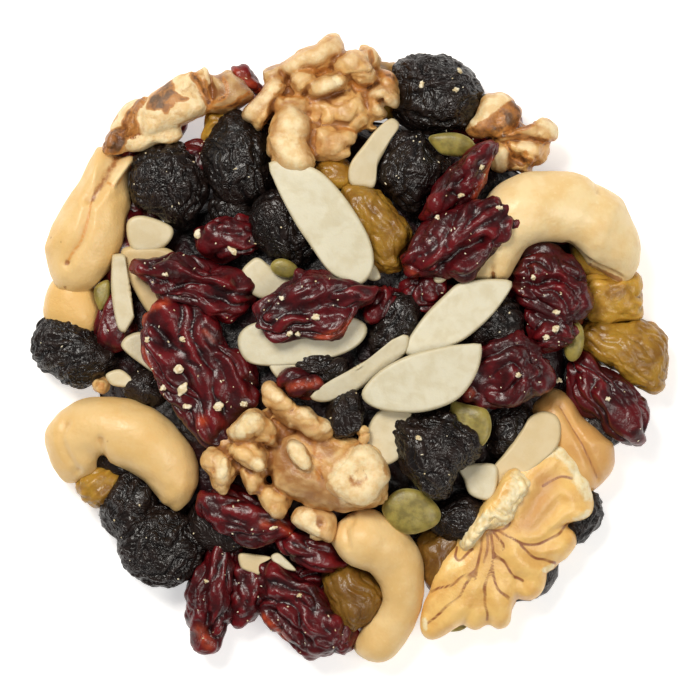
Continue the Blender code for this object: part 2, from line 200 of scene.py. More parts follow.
# The imported fruit inside
# Under the pieces that show lies a low mound of dark dried fruit, pressed together and never seen whole; its
# near-black colour also serves as painted shade in the gaps between the pieces.
# It is one lumpy body with a flat foot on the table, given by its reach in twenty directions.
CORE_RADII = (40, 40, 40, 39, 37, 37, 36, 35, 36, 39, 41, 41, 40, 39, 38, 38, 37, 38, 39, 40)
CORE_HEIGHT = 14.2
CORE_LUMP = 6.5
CORE_UNEVENNESS = 1.5


def noise(at, size, seed=0.0):
    """Smooth unevenness from about -1 to 1 with lumps of the given size, the same on every run."""
    spot = at / size + 7.31 * seed + 100.5
    cell = np.floor(spot).astype(np.int64)
    part = spot - cell
    ease = part**3 * (part * (part * 6 - 15) + 10)
    total = np.zeros(len(at))
    for corner in itertools.product((0, 1), repeat=3):
        step = cell + np.array(corner)
        key = (step * np.array((73856093, 19349663, 83492791))).sum(axis=1) & 0x7FFFFFFF
        key = ((key ^ (key >> 13)) * 1274126177) & 0x7FFFFFFF
        key = key ^ (key >> 15)
        round_way = (key & 1023) / 1024.0 * math.tau
        lift = ((key >> 10) & 1023) / 511.5 - 1.0
        flat = np.sqrt(np.maximum(0.0, 1.0 - lift**2))
        slope = np.stack((flat * np.cos(round_way), flat * np.sin(round_way), lift), axis=1)
        share = np.where(np.array(corner) == 1, ease, 1.0 - ease).prod(axis=1)
        total += share * ((part - np.array(corner)) * slope).sum(axis=1)
    return total * 1.7


def soft_step(value):
    held = np.clip(value, 0.0, 1.0)
    return held * held * (3.0 - 2.0 * held)


def read_off(bm):
    """The points and triangles of a mesh that is then let go."""
    points = np.array([vertex.co[:] for vertex in bm.verts])
    faces = np.array([[vertex.index for vertex in face.verts] for face in bm.faces])
    bm.free()
    return points, faces


balls = {}


def ball(level):
    """Even points on a unit ball, one step finer on its upper side, with the triangles that join them."""
    if level not in balls:
        bm = bmesh.new()
        bmesh.ops.create_icosphere(bm, subdivisions=level, radius=1.0)
        upper = [edge for edge in bm.edges if min(end.co.z for end in edge.verts) > -0.12]
        bmesh.ops.subdivide_edges(bm, edges=upper, cuts=1, use_grid_fill=True)
        bmesh.ops.triangulate(bm, faces=bm.faces)
        bm.verts.index_update()
        points, faces = read_off(bm)
        points /= np.linalg.norm(points, axis=1)[:, None]
        balls[level] = (points, faces)
    return balls[level]


def outward(points, faces):
    """The direction that points away from the surface at each point."""
    corners = points[faces]
    flat = np.cross(corners[:, 1] - corners[:, 0], corners[:, 2] - corners[:, 0])
    total = np.zeros_like(points)
    for corner, axis in itertools.product(range(3), range(3)):
        total[:, axis] += np.bincount(faces[:, corner], flat[:, axis], len(points))
    return total / np.maximum(np.linalg.norm(total, axis=1)[:, None], 1e-12)


def relaxed(points, faces, rounds):
    """The points, each moved to the middle of its neighbours so many times."""
    ends = np.concatenate((faces[:, (0, 1)], faces[:, (1, 2)], faces[:, (2, 0)]))
    count = np.bincount(ends.ravel(), minlength=len(points))[:, None]
    smooth = points.copy()
    for _ in range(rounds):
        total = np.zeros_like(points)
        for axis in range(3):
            total[:, axis] += np.bincount(ends[:, 0], smooth[ends[:, 1], axis], len(points))
            total[:, axis] += np.bincount(ends[:, 1], smooth[ends[:, 0], axis], len(points))
        smooth = total / count
    return smooth


def hollowness(points, faces, rounds):
    """How far each point lies below the surface round it, in millimetres; crests are below zero."""
    return ((relaxed(points, faces, rounds) - points) * outward(points, faces)).sum(axis=1)


def shaded(points, faces, rounds, **shades):
    """A part of a piece: its shape, its hollows and the other shades that its finish reads."""
    return {"points": points, "faces": faces, "hollow": hollowness(points, faces, rounds), **shades}


def make_piece(name, parts, finish):
    """One mesh of all the parts, which rides on the heap and stands for its solid."""
    points = []
    faces = []
    first = 0
    for part in parts:
        points.append(part["points"])
        faces.append(part["faces"] + first)
        first += len(part["points"])
    points = np.concatenate(points)
    points[:, 2] = np.maximum(points[:, 2], 0.05)
    faces = np.concatenate(faces)
    mesh = bpy.data.meshes.new(name)
    mesh.from_pydata((points + HEAP_MIDDLE) * MM, [], faces)
    for shade in parts[0]:
        if shade not in ("points", "faces"):
            values = np.concatenate([np.broadcast_to(part[shade], len(part["points"])) for part in parts])
            layer = mesh.attributes.new(shade, "FLOAT", "POINT")
            layer.data.foreach_set("value", np.ascontiguousarray(values, dtype=np.float32))
    mesh.shade_smooth()
    mesh.materials.append(finish)
    piece = bpy.data.objects.new(name, mesh)
    bpy.context.collection.objects.link(piece)
    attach(piece, "root")
    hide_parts("trail_mix_heap")
    return piece


def hollows(tree, low, high):
    """1 where a place lies deep in a fold, between two depths in millimetres."""
    return between(tree, from_shape(tree, "hollow"), low, high)


def packed_fruit_finish():
    material, tree, place = new_finish("packed_fruit_and_painted_gap_shade")
    # A near-black fruit colour, chosen also as painted shade for the deep gaps between the pieces.
    patch = between(tree, lumps(tree, place, 7.0), 0.4, 0.62)
    colour = tinted(tree, patch, paint(18, 9, 10), paint(44, 12, 17))
    # Painted shade: the deepest folds of the mound turn almost black.
    colour = tinted(tree, hollows(tree, -0.05, 0.3), colour, paint(6, 4, 5))
    wrinkles = lumps(tree, place, 1.3, 5.0, 0.6)
    set_finish(tree, colour, 0.36, relief(tree, wrinkles, 0.6))
    return material


def pack_core():
    way, faces = ball(6)
    angle = np.arctan2(way[:, 1], way[:, 0])
    steps = np.linspace(0.0, math.tau, len(CORE_RADII) + 1)
    reach = np.interp(angle % math.tau, steps, CORE_RADII + CORE_RADII[:1])
    height = np.maximum(way[:, 2], 0.0) * CORE_HEIGHT
    points = np.stack((way[:, 0] * reach, way[:, 1] * reach, height), axis=1)
    lump = noise(points, CORE_LUMP, 3)
    points += outward(points, faces) * (CORE_UNEVENNESS * (np.abs(lump) ** 0.7 - 0.6))[:, None]
    points[way[:, 2] < 0.0, 2] = 0.1
    make_piece("packed_fruit", [shaded(points, faces, 8)], packed_fruit_finish())


pack_core()


# Cashews
# Four curved nuts and the end of a fifth: smooth, cream to pale gold, with a fine mottle and a faint seam.
# Each is swept from tip to tip between its outer and inner edge as seen from above.
CASHEW_EDGES = {
    "right": (
        ((21.2, 10.5), (21.2, 10.5), 13.4),
        ((18.8, 12.4), (25.2, 11.6), 13.6),
        ((18.8, 16.0), (26.9, 14.2), 13.9),
        ((20.0, 20.6), (28.2, 16.1), 14.1),
        ((22.5, 25.2), (29.8, 16.9), 14.0),
        ((26.4, 27.8), (31.6, 17.2), 13.4),
        ((31.0, 28.6), (33.2, 17.2), 12.9),
        ((36.0, 28.2), (34.6, 17.0), 12.2),
        ((40.2, 26.3), (36.0, 16.1), 11.4),
        ((43.3, 24.4), (37.2, 14.7), 10.8),
        ((44.6, 21.6), (38.0, 13.4), 10.2),
        ((46.1, 18.0), (39.2, 12.8), 9.6),
        ((46.4, 15.0), (40.4, 12.0), 9.0),
        ((45.8, 12.6), (41.8, 11.2), 8.6),
        ((43.9, 10.7), (43.9, 10.7), 8.3),
    ),
    "left": (
        ((-45.2, -21.5), (-45.2, -21.5), 5.4),
        ((-47.3, -19.7), (-42.6, -20.9), 5.6),
        ((-48.5, -16.8), (-40.6, -19.7), 6.0),
        ((-48.9, -13.8), (-39.9, -17.9), 6.5),
        ((-47.4, -10.8), (-39.3, -17.7), 7.0),
        ((-44.0, -8.4), (-38.4, -18.3), 7.6),
        ((-40.0, -7.5), (-37.0, -18.9), 8.1),
        ((-36.0, -7.6), (-35.4, -19.4), 8.5),
        ((-32.2, -8.9), (-33.8, -20.3), 8.8),
        ((-29.2, -10.9), (-32.5, -21.3), 8.9),
        ((-26.6, -13.6), (-31.6, -22.4), 8.8),
        ((-24.8, -17.2), (-30.8, -23.4), 8.6),
        ((-24.3, -20.8), (-30.0, -24.5), 8.4),
        ((-25.2, -23.6), (-29.0, -25.1), 8.2),
        ((-27.4, -25.7), (-27.4, -25.7), 8.0),
    ),
    "front": (
        ((-3.2, -30.2), (-3.2, -30.2), 11.5),
        ((-2.7, -28.4), (-2.4, -31.6), 11.6),
        ((-1.0, -26.8), (-1.4, -33.0), 11.7),
        ((1.6, -25.5), (0.0, -34.2), 11.6),
        ((4.4, -25.6), (1.6, -35.0), 11.3),
        ((7.2, -27.3), (3.0, -35.6), 10.8),
        ((9.6, -29.6), (4.0, -36.6), 10.2),
        ((11.2, -32.6), (4.8, -37.8), 9.4),
        ((11.9, -36.4), (5.3, -39.4), 8.7),
        ((11.7, -39.8), (5.1, -40.8), 7.8),
        ((11.0, -43.0), (4.2, -42.3), 6.8),
        ((9.8, -45.8), (3.0, -43.4), 6.0),
        ((8.0, -48.3), (1.9, -44.6), 5.4),
        ((5.8, -49.9), (0.9, -45.8), 5.0),
        ((3.2, -50.1), (0.3, -47.1), 4.7),
        ((1.0, -49.0), (1.0, -49.0), 4.5),
    ),
}
CASHEW_ROAST = {"right": 0.0, "left": 0.5, "front": 0.4}
RINGS = 130
RING_POINTS = 72
CURVE_POINTS = 900
CASHEW_ROUNDNESS = 0.94


def smooth_line(marks, count, closed=False):
    """Points along a smooth curve through the given marks."""
    marks = np.array(marks, float)
    if closed:
        marks = np.concatenate((marks[-1:], marks, marks[:2]))
    else:
        marks = np.concatenate((2 * marks[:1] - marks[1:2], marks, 2 * marks[-1:] - marks[-2:-1]))
    spans = len(marks) - 3
    place = np.linspace(0.0, spans, count, endpoint=not closed)
    span = np.minimum(place.astype(int), spans - 1)
    part = (place - span)[:, None]
    a, b, c, d = (marks[span + step] for step in range(4))
    return 0.5 * (
        2 * b + (c - a) * part + (2 * a - 5 * b + 4 * c - d) * part**2 + (3 * b - a - 3 * c + d) * part**3
    )


def distance_to(points, path):
    """How far each point lies from a path drawn from above, in millimetres."""
    nearest = np.full(len(points), 1e9)
    for start, end in zip(path[:-1], path[1:]):
        along = end - start
        share = np.clip((points[:, :2] - start) @ along / max(along @ along, 1e-9), 0.0, 1.0)[:, None]
        nearest = np.minimum(nearest, np.linalg.norm(points[:, :2] - start - share * along, axis=1))
    return nearest


def stroke(points, path, width):
    """How near each point is to a path drawn from above: 1 on it, falling softly to 0 at its width."""
    path = np.array(path, float)
    if len(path) == 1:
        path = np.concatenate((path, path + 0.01))
    return soft_step(1.0 - distance_to(points, path) / width)


def strokes(points, rows):
    """The strongest of several strokes, each a path, its width and its strength."""
    strongest = np.zeros(len(points))
    for path, width, strength in rows:
        strongest = np.maximum(strongest, strength * stroke(points, path, width))
    return strongest


def sweep(edges, roundness):
    """A closed round body between two edges drawn from above, with the height of its middle."""
    left = np.array([row[0] for row in edges], float)
    right = np.array([row[1] for row in edges], float)
    height = np.array([row[2] for row in edges], float)[:, None]
    half = np.linalg.norm(right - left, axis=1, keepdims=True) / 2
    facing = (right - left) / np.maximum(2 * half, 1e-6)
    facing[0] = facing[1]
    facing[-1] = facing[-2]
    rows = np.concatenate(((left + right) / 2, height, half**2, facing), axis=1)
    dense = smooth_line(rows, CURVE_POINTS)
    place = (0.5 - 0.5 * np.cos(np.linspace(0.0, math.pi, RINGS))) * (CURVE_POINTS - 1)
    rows = np.stack([np.interp(place, np.arange(CURVE_POINTS), column) for column in dense.T], axis=1)
    half = np.sqrt(np.maximum(rows[:, 3], 0.0))
    half[0] = half[-1] = 0.0
    around = np.linspace(0.0, math.tau, RING_POINTS, endpoint=False)
    side = np.zeros((RINGS, 3))
    side[:, :2] = rows[:, 4:6] / np.linalg.norm(rows[:, 4:6], axis=1, keepdims=True)
    up = np.array((0.0, 0.0, roundness))
    ring = np.cos(around)[None, :, None] * side[:, None, :] + np.sin(around)[None, :, None] * up
    points = rows[:, None, :3] + ring * half[:, None, None]
    body = points[1:-1].reshape(-1, 3)
    points = np.concatenate((body, points[:1, 0], points[-1:, 0]))
    faces = []
    last = RINGS - 3
    for step in range(last):
        for spot in range(RING_POINTS):
            a = step * RING_POINTS + spot
            b = step * RING_POINTS + (spot + 1) % RING_POINTS
            faces.append((a, b, b + RING_POINTS))
            faces.append((a, b + RING_POINTS, a + RING_POINTS))
    for spot in range(RING_POINTS):
        near = (spot + 1) % RING_POINTS
        faces.append((near, spot, len(body)))
        faces.append((last * RING_POINTS + spot, last * RING_POINTS + near, len(body) + 1))
    faces = np.array(faces)
    middle = points.mean(axis=0)
    if ((points - middle) * outward(points, faces)).sum() < 0:
        faces = faces[:, ::-1]
    return points, faces


def reach_of(outline, middle, angle):
    """The distance from the middle to a given outline in each direction."""
    dense = smooth_line(outline, len(outline) * 10, closed=True) - np.array(middle)
    turn = np.arctan2(dense[:, 1], dense[:, 0])
    order = np.argsort(turn)
    even = np.linspace(0.0, math.tau, 720, endpoint=False)
    reach = np.interp(even, turn[order], np.hypot(*dense.T)[order], period=math.tau)
    reach = sum(np.roll(reach, step) for step in range(-3, 4)) / 7
    return np.interp(angle, even, reach, period=math.tau)


def turned(along, across, heading):
    """Places given along and across a heading in degrees, as places seen from above."""
    turn = math.radians(heading)
    return (
        along * math.cos(turn) - across * math.sin(turn),
        along * math.sin(turn) + across * math.cos(turn),
    )


def oval(middle, length, width, heading):
    """An outline, as seen from above, for a plain oval piece."""
    around = np.linspace(0.0, math.tau, 16, endpoint=False)
    x, y = turned(np.cos(around) * length / 2, np.sin(around) * width / 2, heading)
    return np.stack((middle[0] + x, middle[1] + y), axis=1)


def pillow(outline, low, high, tilt=(0.0, 0.0), level=5, fullness=2.3, middle=None):
    """A closed cushion with the outline seen from above, leaning by its two slopes."""
    way, faces = ball(level)
    outline = np.array(outline, float)
    if middle is None:
        middle = (outline.max(axis=0) + outline.min(axis=0)) / 2
    angle = np.arctan2(way[:, 1], way[:, 0])
    out = np.hypot(way[:, 0], way[:, 1]) ** (2.0 / fullness)
    reach = reach_of(outline, middle, angle) * out
    flat = np.stack((np.cos(angle) * reach, np.sin(angle) * reach), axis=1)
    lift = np.sign(way[:, 2]) * np.abs(way[:, 2]) ** (2.0 / fullness)
    height = (low + high) / 2 + (high - low) / 2 * lift + flat @ np.array(tilt)
    points = np.concatenate((flat + np.array(middle), height[:, None]), axis=1)
    return points, faces, way


def along_heading(points, heading):
    """The points turned so that the heading lies along X."""
    return np.stack((*turned(points[:, 0], points[:, 1], -heading), points[:, 2]), axis=1)


def nearness(points, paths, width):
    """1 on the nearest of several smooth paths drawn from above, falling evenly to 0 at the width."""
    nearest = np.min([distance_to(points, smooth_line(path, 8 * len(path))) for path in paths], axis=0)
    return np.clip(1.0 - nearest / width, 0.0, 1.0)


SPLIT_CASHEW_OUTLINE = (
    (-40.2, 32.6), (-36.6, 31.8), (-34.4, 30.9), (-34.8, 29.2), (-35.4, 26.7), (-35.2, 24.3), (-35.7, 20.6),
    (-36.6, 16.2), (-38.1, 13.2), (-39.6, 11.2), (-41.3, 9.5), (-43.7, 8.7), (-45.7, 9.1), (-47.4, 10.5),
    (-48.9, 15.2), (-49.0, 16.9), (-47.9, 19.6), (-45.7, 23.5), (-43.0, 27.7), (-41.3, 30.9),
)
CASHEW_END_OUTLINE = (
    (-49.2, 7.4), (-48.7, 4.2), (-46.5, 2.2), (-43.0, 1.7), (-40.7, 2.6), (-40.1, 5.0), (-40.3, 8.0),
    (-41.2, 11.0), (-44.7, 12.8), (-48.0, 11.0),
)
SPLIT_SEAM = ((-41.4, 24.2), (-41.9, 20.8), (-43.0, 17.4), (-44.5, 15.4), (-45.3, 13.9))
SPLIT_CLEFT = ((-37.2, 31.6), (-37.8, 30.1), (-38.7, 28.6), (-39.4, 27.1), (-40.6, 25.4), (-41.4, 24.2))
SPLIT_STEP = ((-38.6, 27.0), (-37.7, 26.2), (-36.7, 26.6), (-35.6, 28.2), (-34.7, 29.1))
SPLIT_FOLDS = (
    (SPLIT_SEAM, 1.5, 0.5), (SPLIT_CLEFT, 2.3, 1.0), (SPLIT_STEP, 1.0, 0.35), (((-45.2, 14.0),), 1.0, 0.7),
)
SPLIT_BROWN = (
    (SPLIT_CLEFT, 1.1, 0.65), (((-45.4, 13.8),), 0.9, 1.0), (((-45.7, 9.9),), 0.6, 0.8),
    (((-46.2, 17.2),), 0.4, 0.6), (((-48.0, 18.0),), 0.4, 0.6),
)
SPLIT_PALE = ((((-36.8, 30.4), (-36.8, 28.6)), 3.0, 1.0),)
CASHEW_CREASES = (
    (((-39.9, -14.4), (-39.8, -16.0), (-39.5, -18.5)), 1.2, 0.6),
    (((-45.5, -11.6), (-46.3, -14.0), (-45.3, -16.8), (-43.7, -19.3)), 1.3, 0.5),
    (((0.6, -26.2), (0.2, -27.6)), 0.8, 0.3),
    (((-0.6, -28.6), (-0.2, -31.4)), 0.8, 0.3),
    (((34.7, 16.9), (36.9, 14.6), (39.2, 13.2), (43.3, 11.4)), 0.9, 0.5),
    (((22.9, 11.0), (22.7, 13.0)), 0.8, 0.5),
    (((39.0, 27.3), (39.8, 25.2)), 0.9, 0.35),
)
CASHEW_BROWN = (
    (((34.9, 16.7), (37.0, 14.4), (39.2, 13.0), (43.3, 11.2)), 0.75, 0.9),
    (((22.9, 11.3), (22.8, 12.2)), 0.6, 0.9),
    (((-38.7, -14.6),), 0.45, 0.6),
    (((-0.4, -28.8), (-0.1, -30.4)), 0.35, 0.35),
    (((30.0, 22.5),), 1.1, 0.18),
    (((33.6, 22.5),), 1.2, 0.18),
    (((37.2, 22.3),), 1.2, 0.2),
    (((40.4, 21.8),), 1.3, 0.2),
)


def ranged(tree, value, lowest, highest):
    """A value from 0 to 1, moved to lie between two others."""
    inputs = {"Value": value, "To Min": lowest, "To Max": highest}
    return add(tree, "ShaderNodeMapRange", inputs).outputs["Result"]


def cashew_finish():
    material, tree, place = new_finish("pale_cashew")
    roast = from_shape(tree, "roast")
    mottle = between(tree, lumps(tree, place, 5.0, 4.0), 0.36, 0.66)
    fleck = between(tree, lumps(tree, place, 0.7, 4.0), 0.56, 0.74)
    colour = tinted(tree, mottle, paint(242, 216, 164), paint(232, 197, 136))
    colour = tinted(tree, fleck, colour, paint(246, 226, 178), 0.3)
    colour = tinted(tree, roast, colour, paint(224, 176, 98))
    # Painted shade: places deep in a dent or crease turn a darker gold-brown.
    hollow = hollows(tree, 0.0, 0.22)
    colour = tinted(tree, hollow, colour, paint(192, 140, 76), 0.5)
    seam = sums(tree, "MULTIPLY", between(tree, from_shape(tree, "seam"), 0.6, 0.9), 0.75)
    colour = tinted(tree, seam, colour, paint(210, 140, 58))
    ragged = sums(tree, "SUBTRACT", lumps(tree, place, 1.0, 4.0), 0.5)
    stain = sums(tree, "ADD", from_shape(tree, "brown"), ragged)
    stain = between(tree, stain, 0.25, 0.7)
    colour = tinted(tree, stain, colour, paint(150, 92, 44), 0.85)
    fine = relief(tree, lumps(tree, place, 0.45, 3.0), 0.05)
    wide = relief(tree, lumps(tree, place, 2.2, 3.0), 0.16, fine)
    set_finish(tree, colour, ranged(tree, mottle, 0.36, 0.48), wide, (0.12, 1.2, (1.0, 0.6, 0.3)))
    return material


def cashew_part(points, faces, roast, seed, creases=CASHEW_CREASES):
    """Gentle dents, cross wrinkles and creases on a cashew, with its browned places."""
    away = outward(points, faces)
    dents = 0.35 * noise(points, 6.0, seed) + 0.10 * noise(points, 2.2, seed + 1)
    upper = soft_step(away[:, 2] * 2.0 + 0.6)
    dents -= strokes(points, creases) * upper * 1.1
    points = points + away * dents[:, None]
    return shaded(points, faces, 8, brown=strokes(points, CASHEW_BROWN) * upper, roast=roast, seam=0.0)


def lay_cashews():
    parts = []
    for seed, (name, edges) in enumerate(CASHEW_EDGES.items()):
        points, faces = sweep(edges, CASHEW_ROUNDNESS)
        parts.append(cashew_part(points, faces, CASHEW_ROAST[name], 10 + seed))
    points, faces, way = pillow(SPLIT_CASHEW_OUTLINE, 0.6, 12.4, middle=(-41.6, 20.6))
    split = cashew_part(points, faces, 0.5, 20, SPLIT_FOLDS)
    split["brown"] = strokes(points, SPLIT_BROWN) * (way[:, 2] > 0)
    split["seam"] = nearness(points, (SPLIT_SEAM, SPLIT_STEP), 0.9) * (way[:, 2] > 0)
    split["roast"] = 0.5 - 0.75 * strokes(points, SPLIT_PALE)
    parts.append(split)
    points, faces, way = pillow(CASHEW_END_OUTLINE, 0.6, 8.6, level=4)
    parts.append(cashew_part(points, faces, 0.75, 21, ()))
    make_piece("cashews", parts, cashew_finish())


lay_cashews()


# Dried berries
# Round blue-black berries, dried until their skin has shrunk into fine flowing wrinkles, with a dull bloom.
# The ones that show well follow their outline from above, and the rest are uneven ovals.
# Each row gives the outline, the lowest and highest point, the heading of its folds and how fine its mesh is.
BERRY_OUTLINES = (
    (((-51.5, 1.2), (-50.4, 3.9), (-48.8, 5.6), (-46.4, 6.1), (-44.2, 5.6), (-41.8, 4.1), (-40.1, 2.9),
      (-37.9, 0.5), (-36.9, -1.8), (-37.9, -3.5), (-39.8, -4.7), (-41.3, -5.7), (-43.7, -6.4),
      (-45.5, -5.7),
      (-47.4, -4.2), (-49.6, -3.0), (-51.0, -1.0)), 0.3, 9.8, 20, 5),
    (((-30.8, 32.9), (-27.1, 33.1), (-24.6, 30.9), (-22.9, 27.7), (-22.5, 25.5), (-23.9, 21.8), (-25.9, 19.6),
      (-28.8, 19.6), (-30.8, 21.1), (-33.4, 22.5), (-35.2, 24.0), (-35.3, 27.4), (-34.5, 29.9),
      (-32.7, 32.1)), 2.8, 14.4, 70, 5),
    (((6.5, 45.1), (8.0, 46.5), (11.2, 47.5), (15.6, 47.5), (17.1, 46.5), (19.3, 44.6), (21.3, 42.1),
      (21.4, 40.4), (20.3, 37.7), (18.3, 35.5), (14.4, 34.5), (12.7, 34.5), (9.7, 35.5), (7.5, 36.7),
      (6.5, 38.5), (6.3, 42.0)), 3.4, 13.8, 10, 5),
    (((4.1, 27.7), (4.8, 30.6), (6.3, 33.6), (9.2, 35.3), (12.2, 34.5), (13.6, 32.1), (15.8, 30.4),
      (14.6, 26.7), (12.4, 23.0), (11.4, 20.6), (9.0, 21.1), (6.8, 23.5), (5.3, 25.5)), 5.8, 17.0, 60, 5),
    (((6.2, -11.8), (8.5, -10.3), (12.4, -9.6), (16.3, -9.8), (18.0, -11.6), (20.7, -12.9), (21.2, -15.4),
      (20.0, -17.8), (18.5, -18.8), (17.3, -20.3), (16.6, -22.7), (14.9, -24.0), (11.7, -22.9),
      (9.5, -20.6),
      (8.0, -18.8), (6.8, -16.7)), 8.8, 20.2, 130, 5),
    (oval((-30.3, -31.4), 13.9, 13.7, 0), 0.3, 10.2, 30, 5),
    (oval((-35.4, -24.6), 11.4, 9.4, 80), 0.4, 9.4, 60, 4),
    (((-14.8, 24.5), (-11.1, 25.9), (-7.2, 23.6), (-5.3, 20.0), (-5.4, 15.7), (-8.7, 13.5), (-11.9, 14.3),
      (-15.2, 17.0), (-16.2, 20.6)), 7.8, 18.2, 95, 5),
    (((-20.5, 37.5), (-17.0, 38.0), (-14.0, 35.8), (-12.4, 31.0), (-12.4, 26.8), (-14.4, 23.6), (-18.4, 22.6),
      (-21.6, 24.8), (-23.4, 29.0), (-23.0, 33.4)), 5.8, 16.4, 100, 5),
    (oval((22.2, 4.8), 11.6, 8.6, -10), 9.4, 17.2, 40, 4),
    (oval((25.3, -12.8), 10.6, 8.8, 70), 4.0, 12.2, 20, 4),
    (oval((-0.8, -10.4), 7.8, 6.0, 80), 14.2, 20.0, 80, 4),
    (oval((17.6, -27.0), 10.4, 7.6, 10), 5.4, 13.4, 10, 4),
    (oval((36.6, -26.8), 9.8, 7.6, 70), 0.8, 8.2, 60, 4),
    (oval((7.2, 3.8), 12.0, 7.8, 55), 11.2, 18.6, 55, 4),
    (oval((-4.4, -2.8), 8.6, 5.4, -10), 13.0, 19.0, 0, 4),
    (oval((-19.0, 22.4), 8.0, 6.2, 0), 7.2, 13.6, 0, 4),
    (oval((-32.4, -6.0), 7.4, 6.4, 0), 4.0, 11.0, 0, 3),
    (oval((-2.0, 42.0), 13.0, 12.0, 20), 0.5, 9.4, 20, 3),
    (oval((25.0, 32.6), 9.0, 8.0, 0), 0.5, 8.0, 0, 3),
    (oval((38.4, -13.0), 12.0, 10.0, 40), 0.5, 8.6, 40, 3),
    (oval((27.6, -35.0), 12.0, 11.0, 0), 0.5, 8.2, 0, 3),
    (oval((-35.8, -15.6), 12.0, 11.0, 0), 0.5, 8.8, 0, 3),
    (oval((-20.0, -27.4), 12.0, 11.0, 30), 1.0, 10.2, 30, 3),
)


def crests(tree, low, high):
    """1 where a place stands high on a fold, between two heights in millimetres."""
    return between(tree, sums(tree, "MULTIPLY", from_shape(tree, "hollow"), -1.0), low, high)


def berry_finish():
    material, tree, place = new_finish("blue_black_berry_skin")
    bloom = between(tree, lumps(tree, place, 4.5, 5.0), 0.42, 0.7)
    colour = tinted(tree, bloom, paint(18, 12, 10), paint(34, 23, 19))
    # Painted highlight: the crests of the wrinkles are lightened towards grey.
    crest = crests(tree, 0.0, 0.16)
    colour = tinted(tree, crest, colour, paint(50, 38, 34), 0.4)
    # Painted shade: the bottoms of the folds turn near black.
    hollow = hollows(tree, 0.0, 0.2)
    colour = tinted(tree, hollow, colour, paint(8, 6, 9), 0.8)
    flow = lumps(tree, place, 3.4, 2.0, 0.8)
    lines = sums(tree, "SINE", sums(tree, "MULTIPLY", flow, 62.0), 0.0)
    fine = relief(tree, lines, 0.05, relief(tree, lumps(tree, place, 0.5, 3.0), 0.09))
    set_finish(tree, colour, 0.27, fine, Specular_IOR_Level=0.42)
    return material


def drift(points, size, seed):
    """An uneven shift in all three directions, with lumps of the given size."""
    return np.stack([noise(points, size, seed + axis) for axis in range(3)], axis=1)


def wrinkles(points, heading, bend, long_folds, small_folds, seed, sharpness=0.8):
    """Long and small folds along a heading, bent by a drift given as its size and its amount."""
    bent = along_heading(points, heading) + bend[1] * drift(points, bend[0], seed + 0.3)
    folds = np.abs(noise(bent, np.array(long_folds), seed + 1)) ** sharpness
    small = np.abs(noise(bent, np.array(small_folds), seed + 2)) ** 0.8
    return bent, folds, small


def berry_part(outline, low, high, heading, level, seed):
    points, faces, _ = pillow(outline, low, high, level=level, fullness=2.1)
    bent, folds, small = wrinkles(points, heading, (4.5, 1.6), (5.2, 2.2, 2.4), (2.2, 1.1, 1.2), seed)
    rings = np.sin(math.tau * 3.4 * noise(bent, 6.5, seed + 3))
    push = 0.55 * noise(points, 7.0, seed) + 0.75 * (folds - 0.35) + 0.32 * (small - 0.35) + 0.08 * rings
    return shaded(points + outward(points, faces) * push[:, None], faces, 5)


def lay_rows(name, make_part, rows, first_seed, finish):
    """One piece with a part for every row, each with its own seed."""
    parts = [make_part(*row, seed=first_seed + number) for number, row in enumerate(rows)]
    make_piece(name, parts, finish)


lay_rows("dried_berries", berry_part, BERRY_OUTLINES, 30, berry_finish())
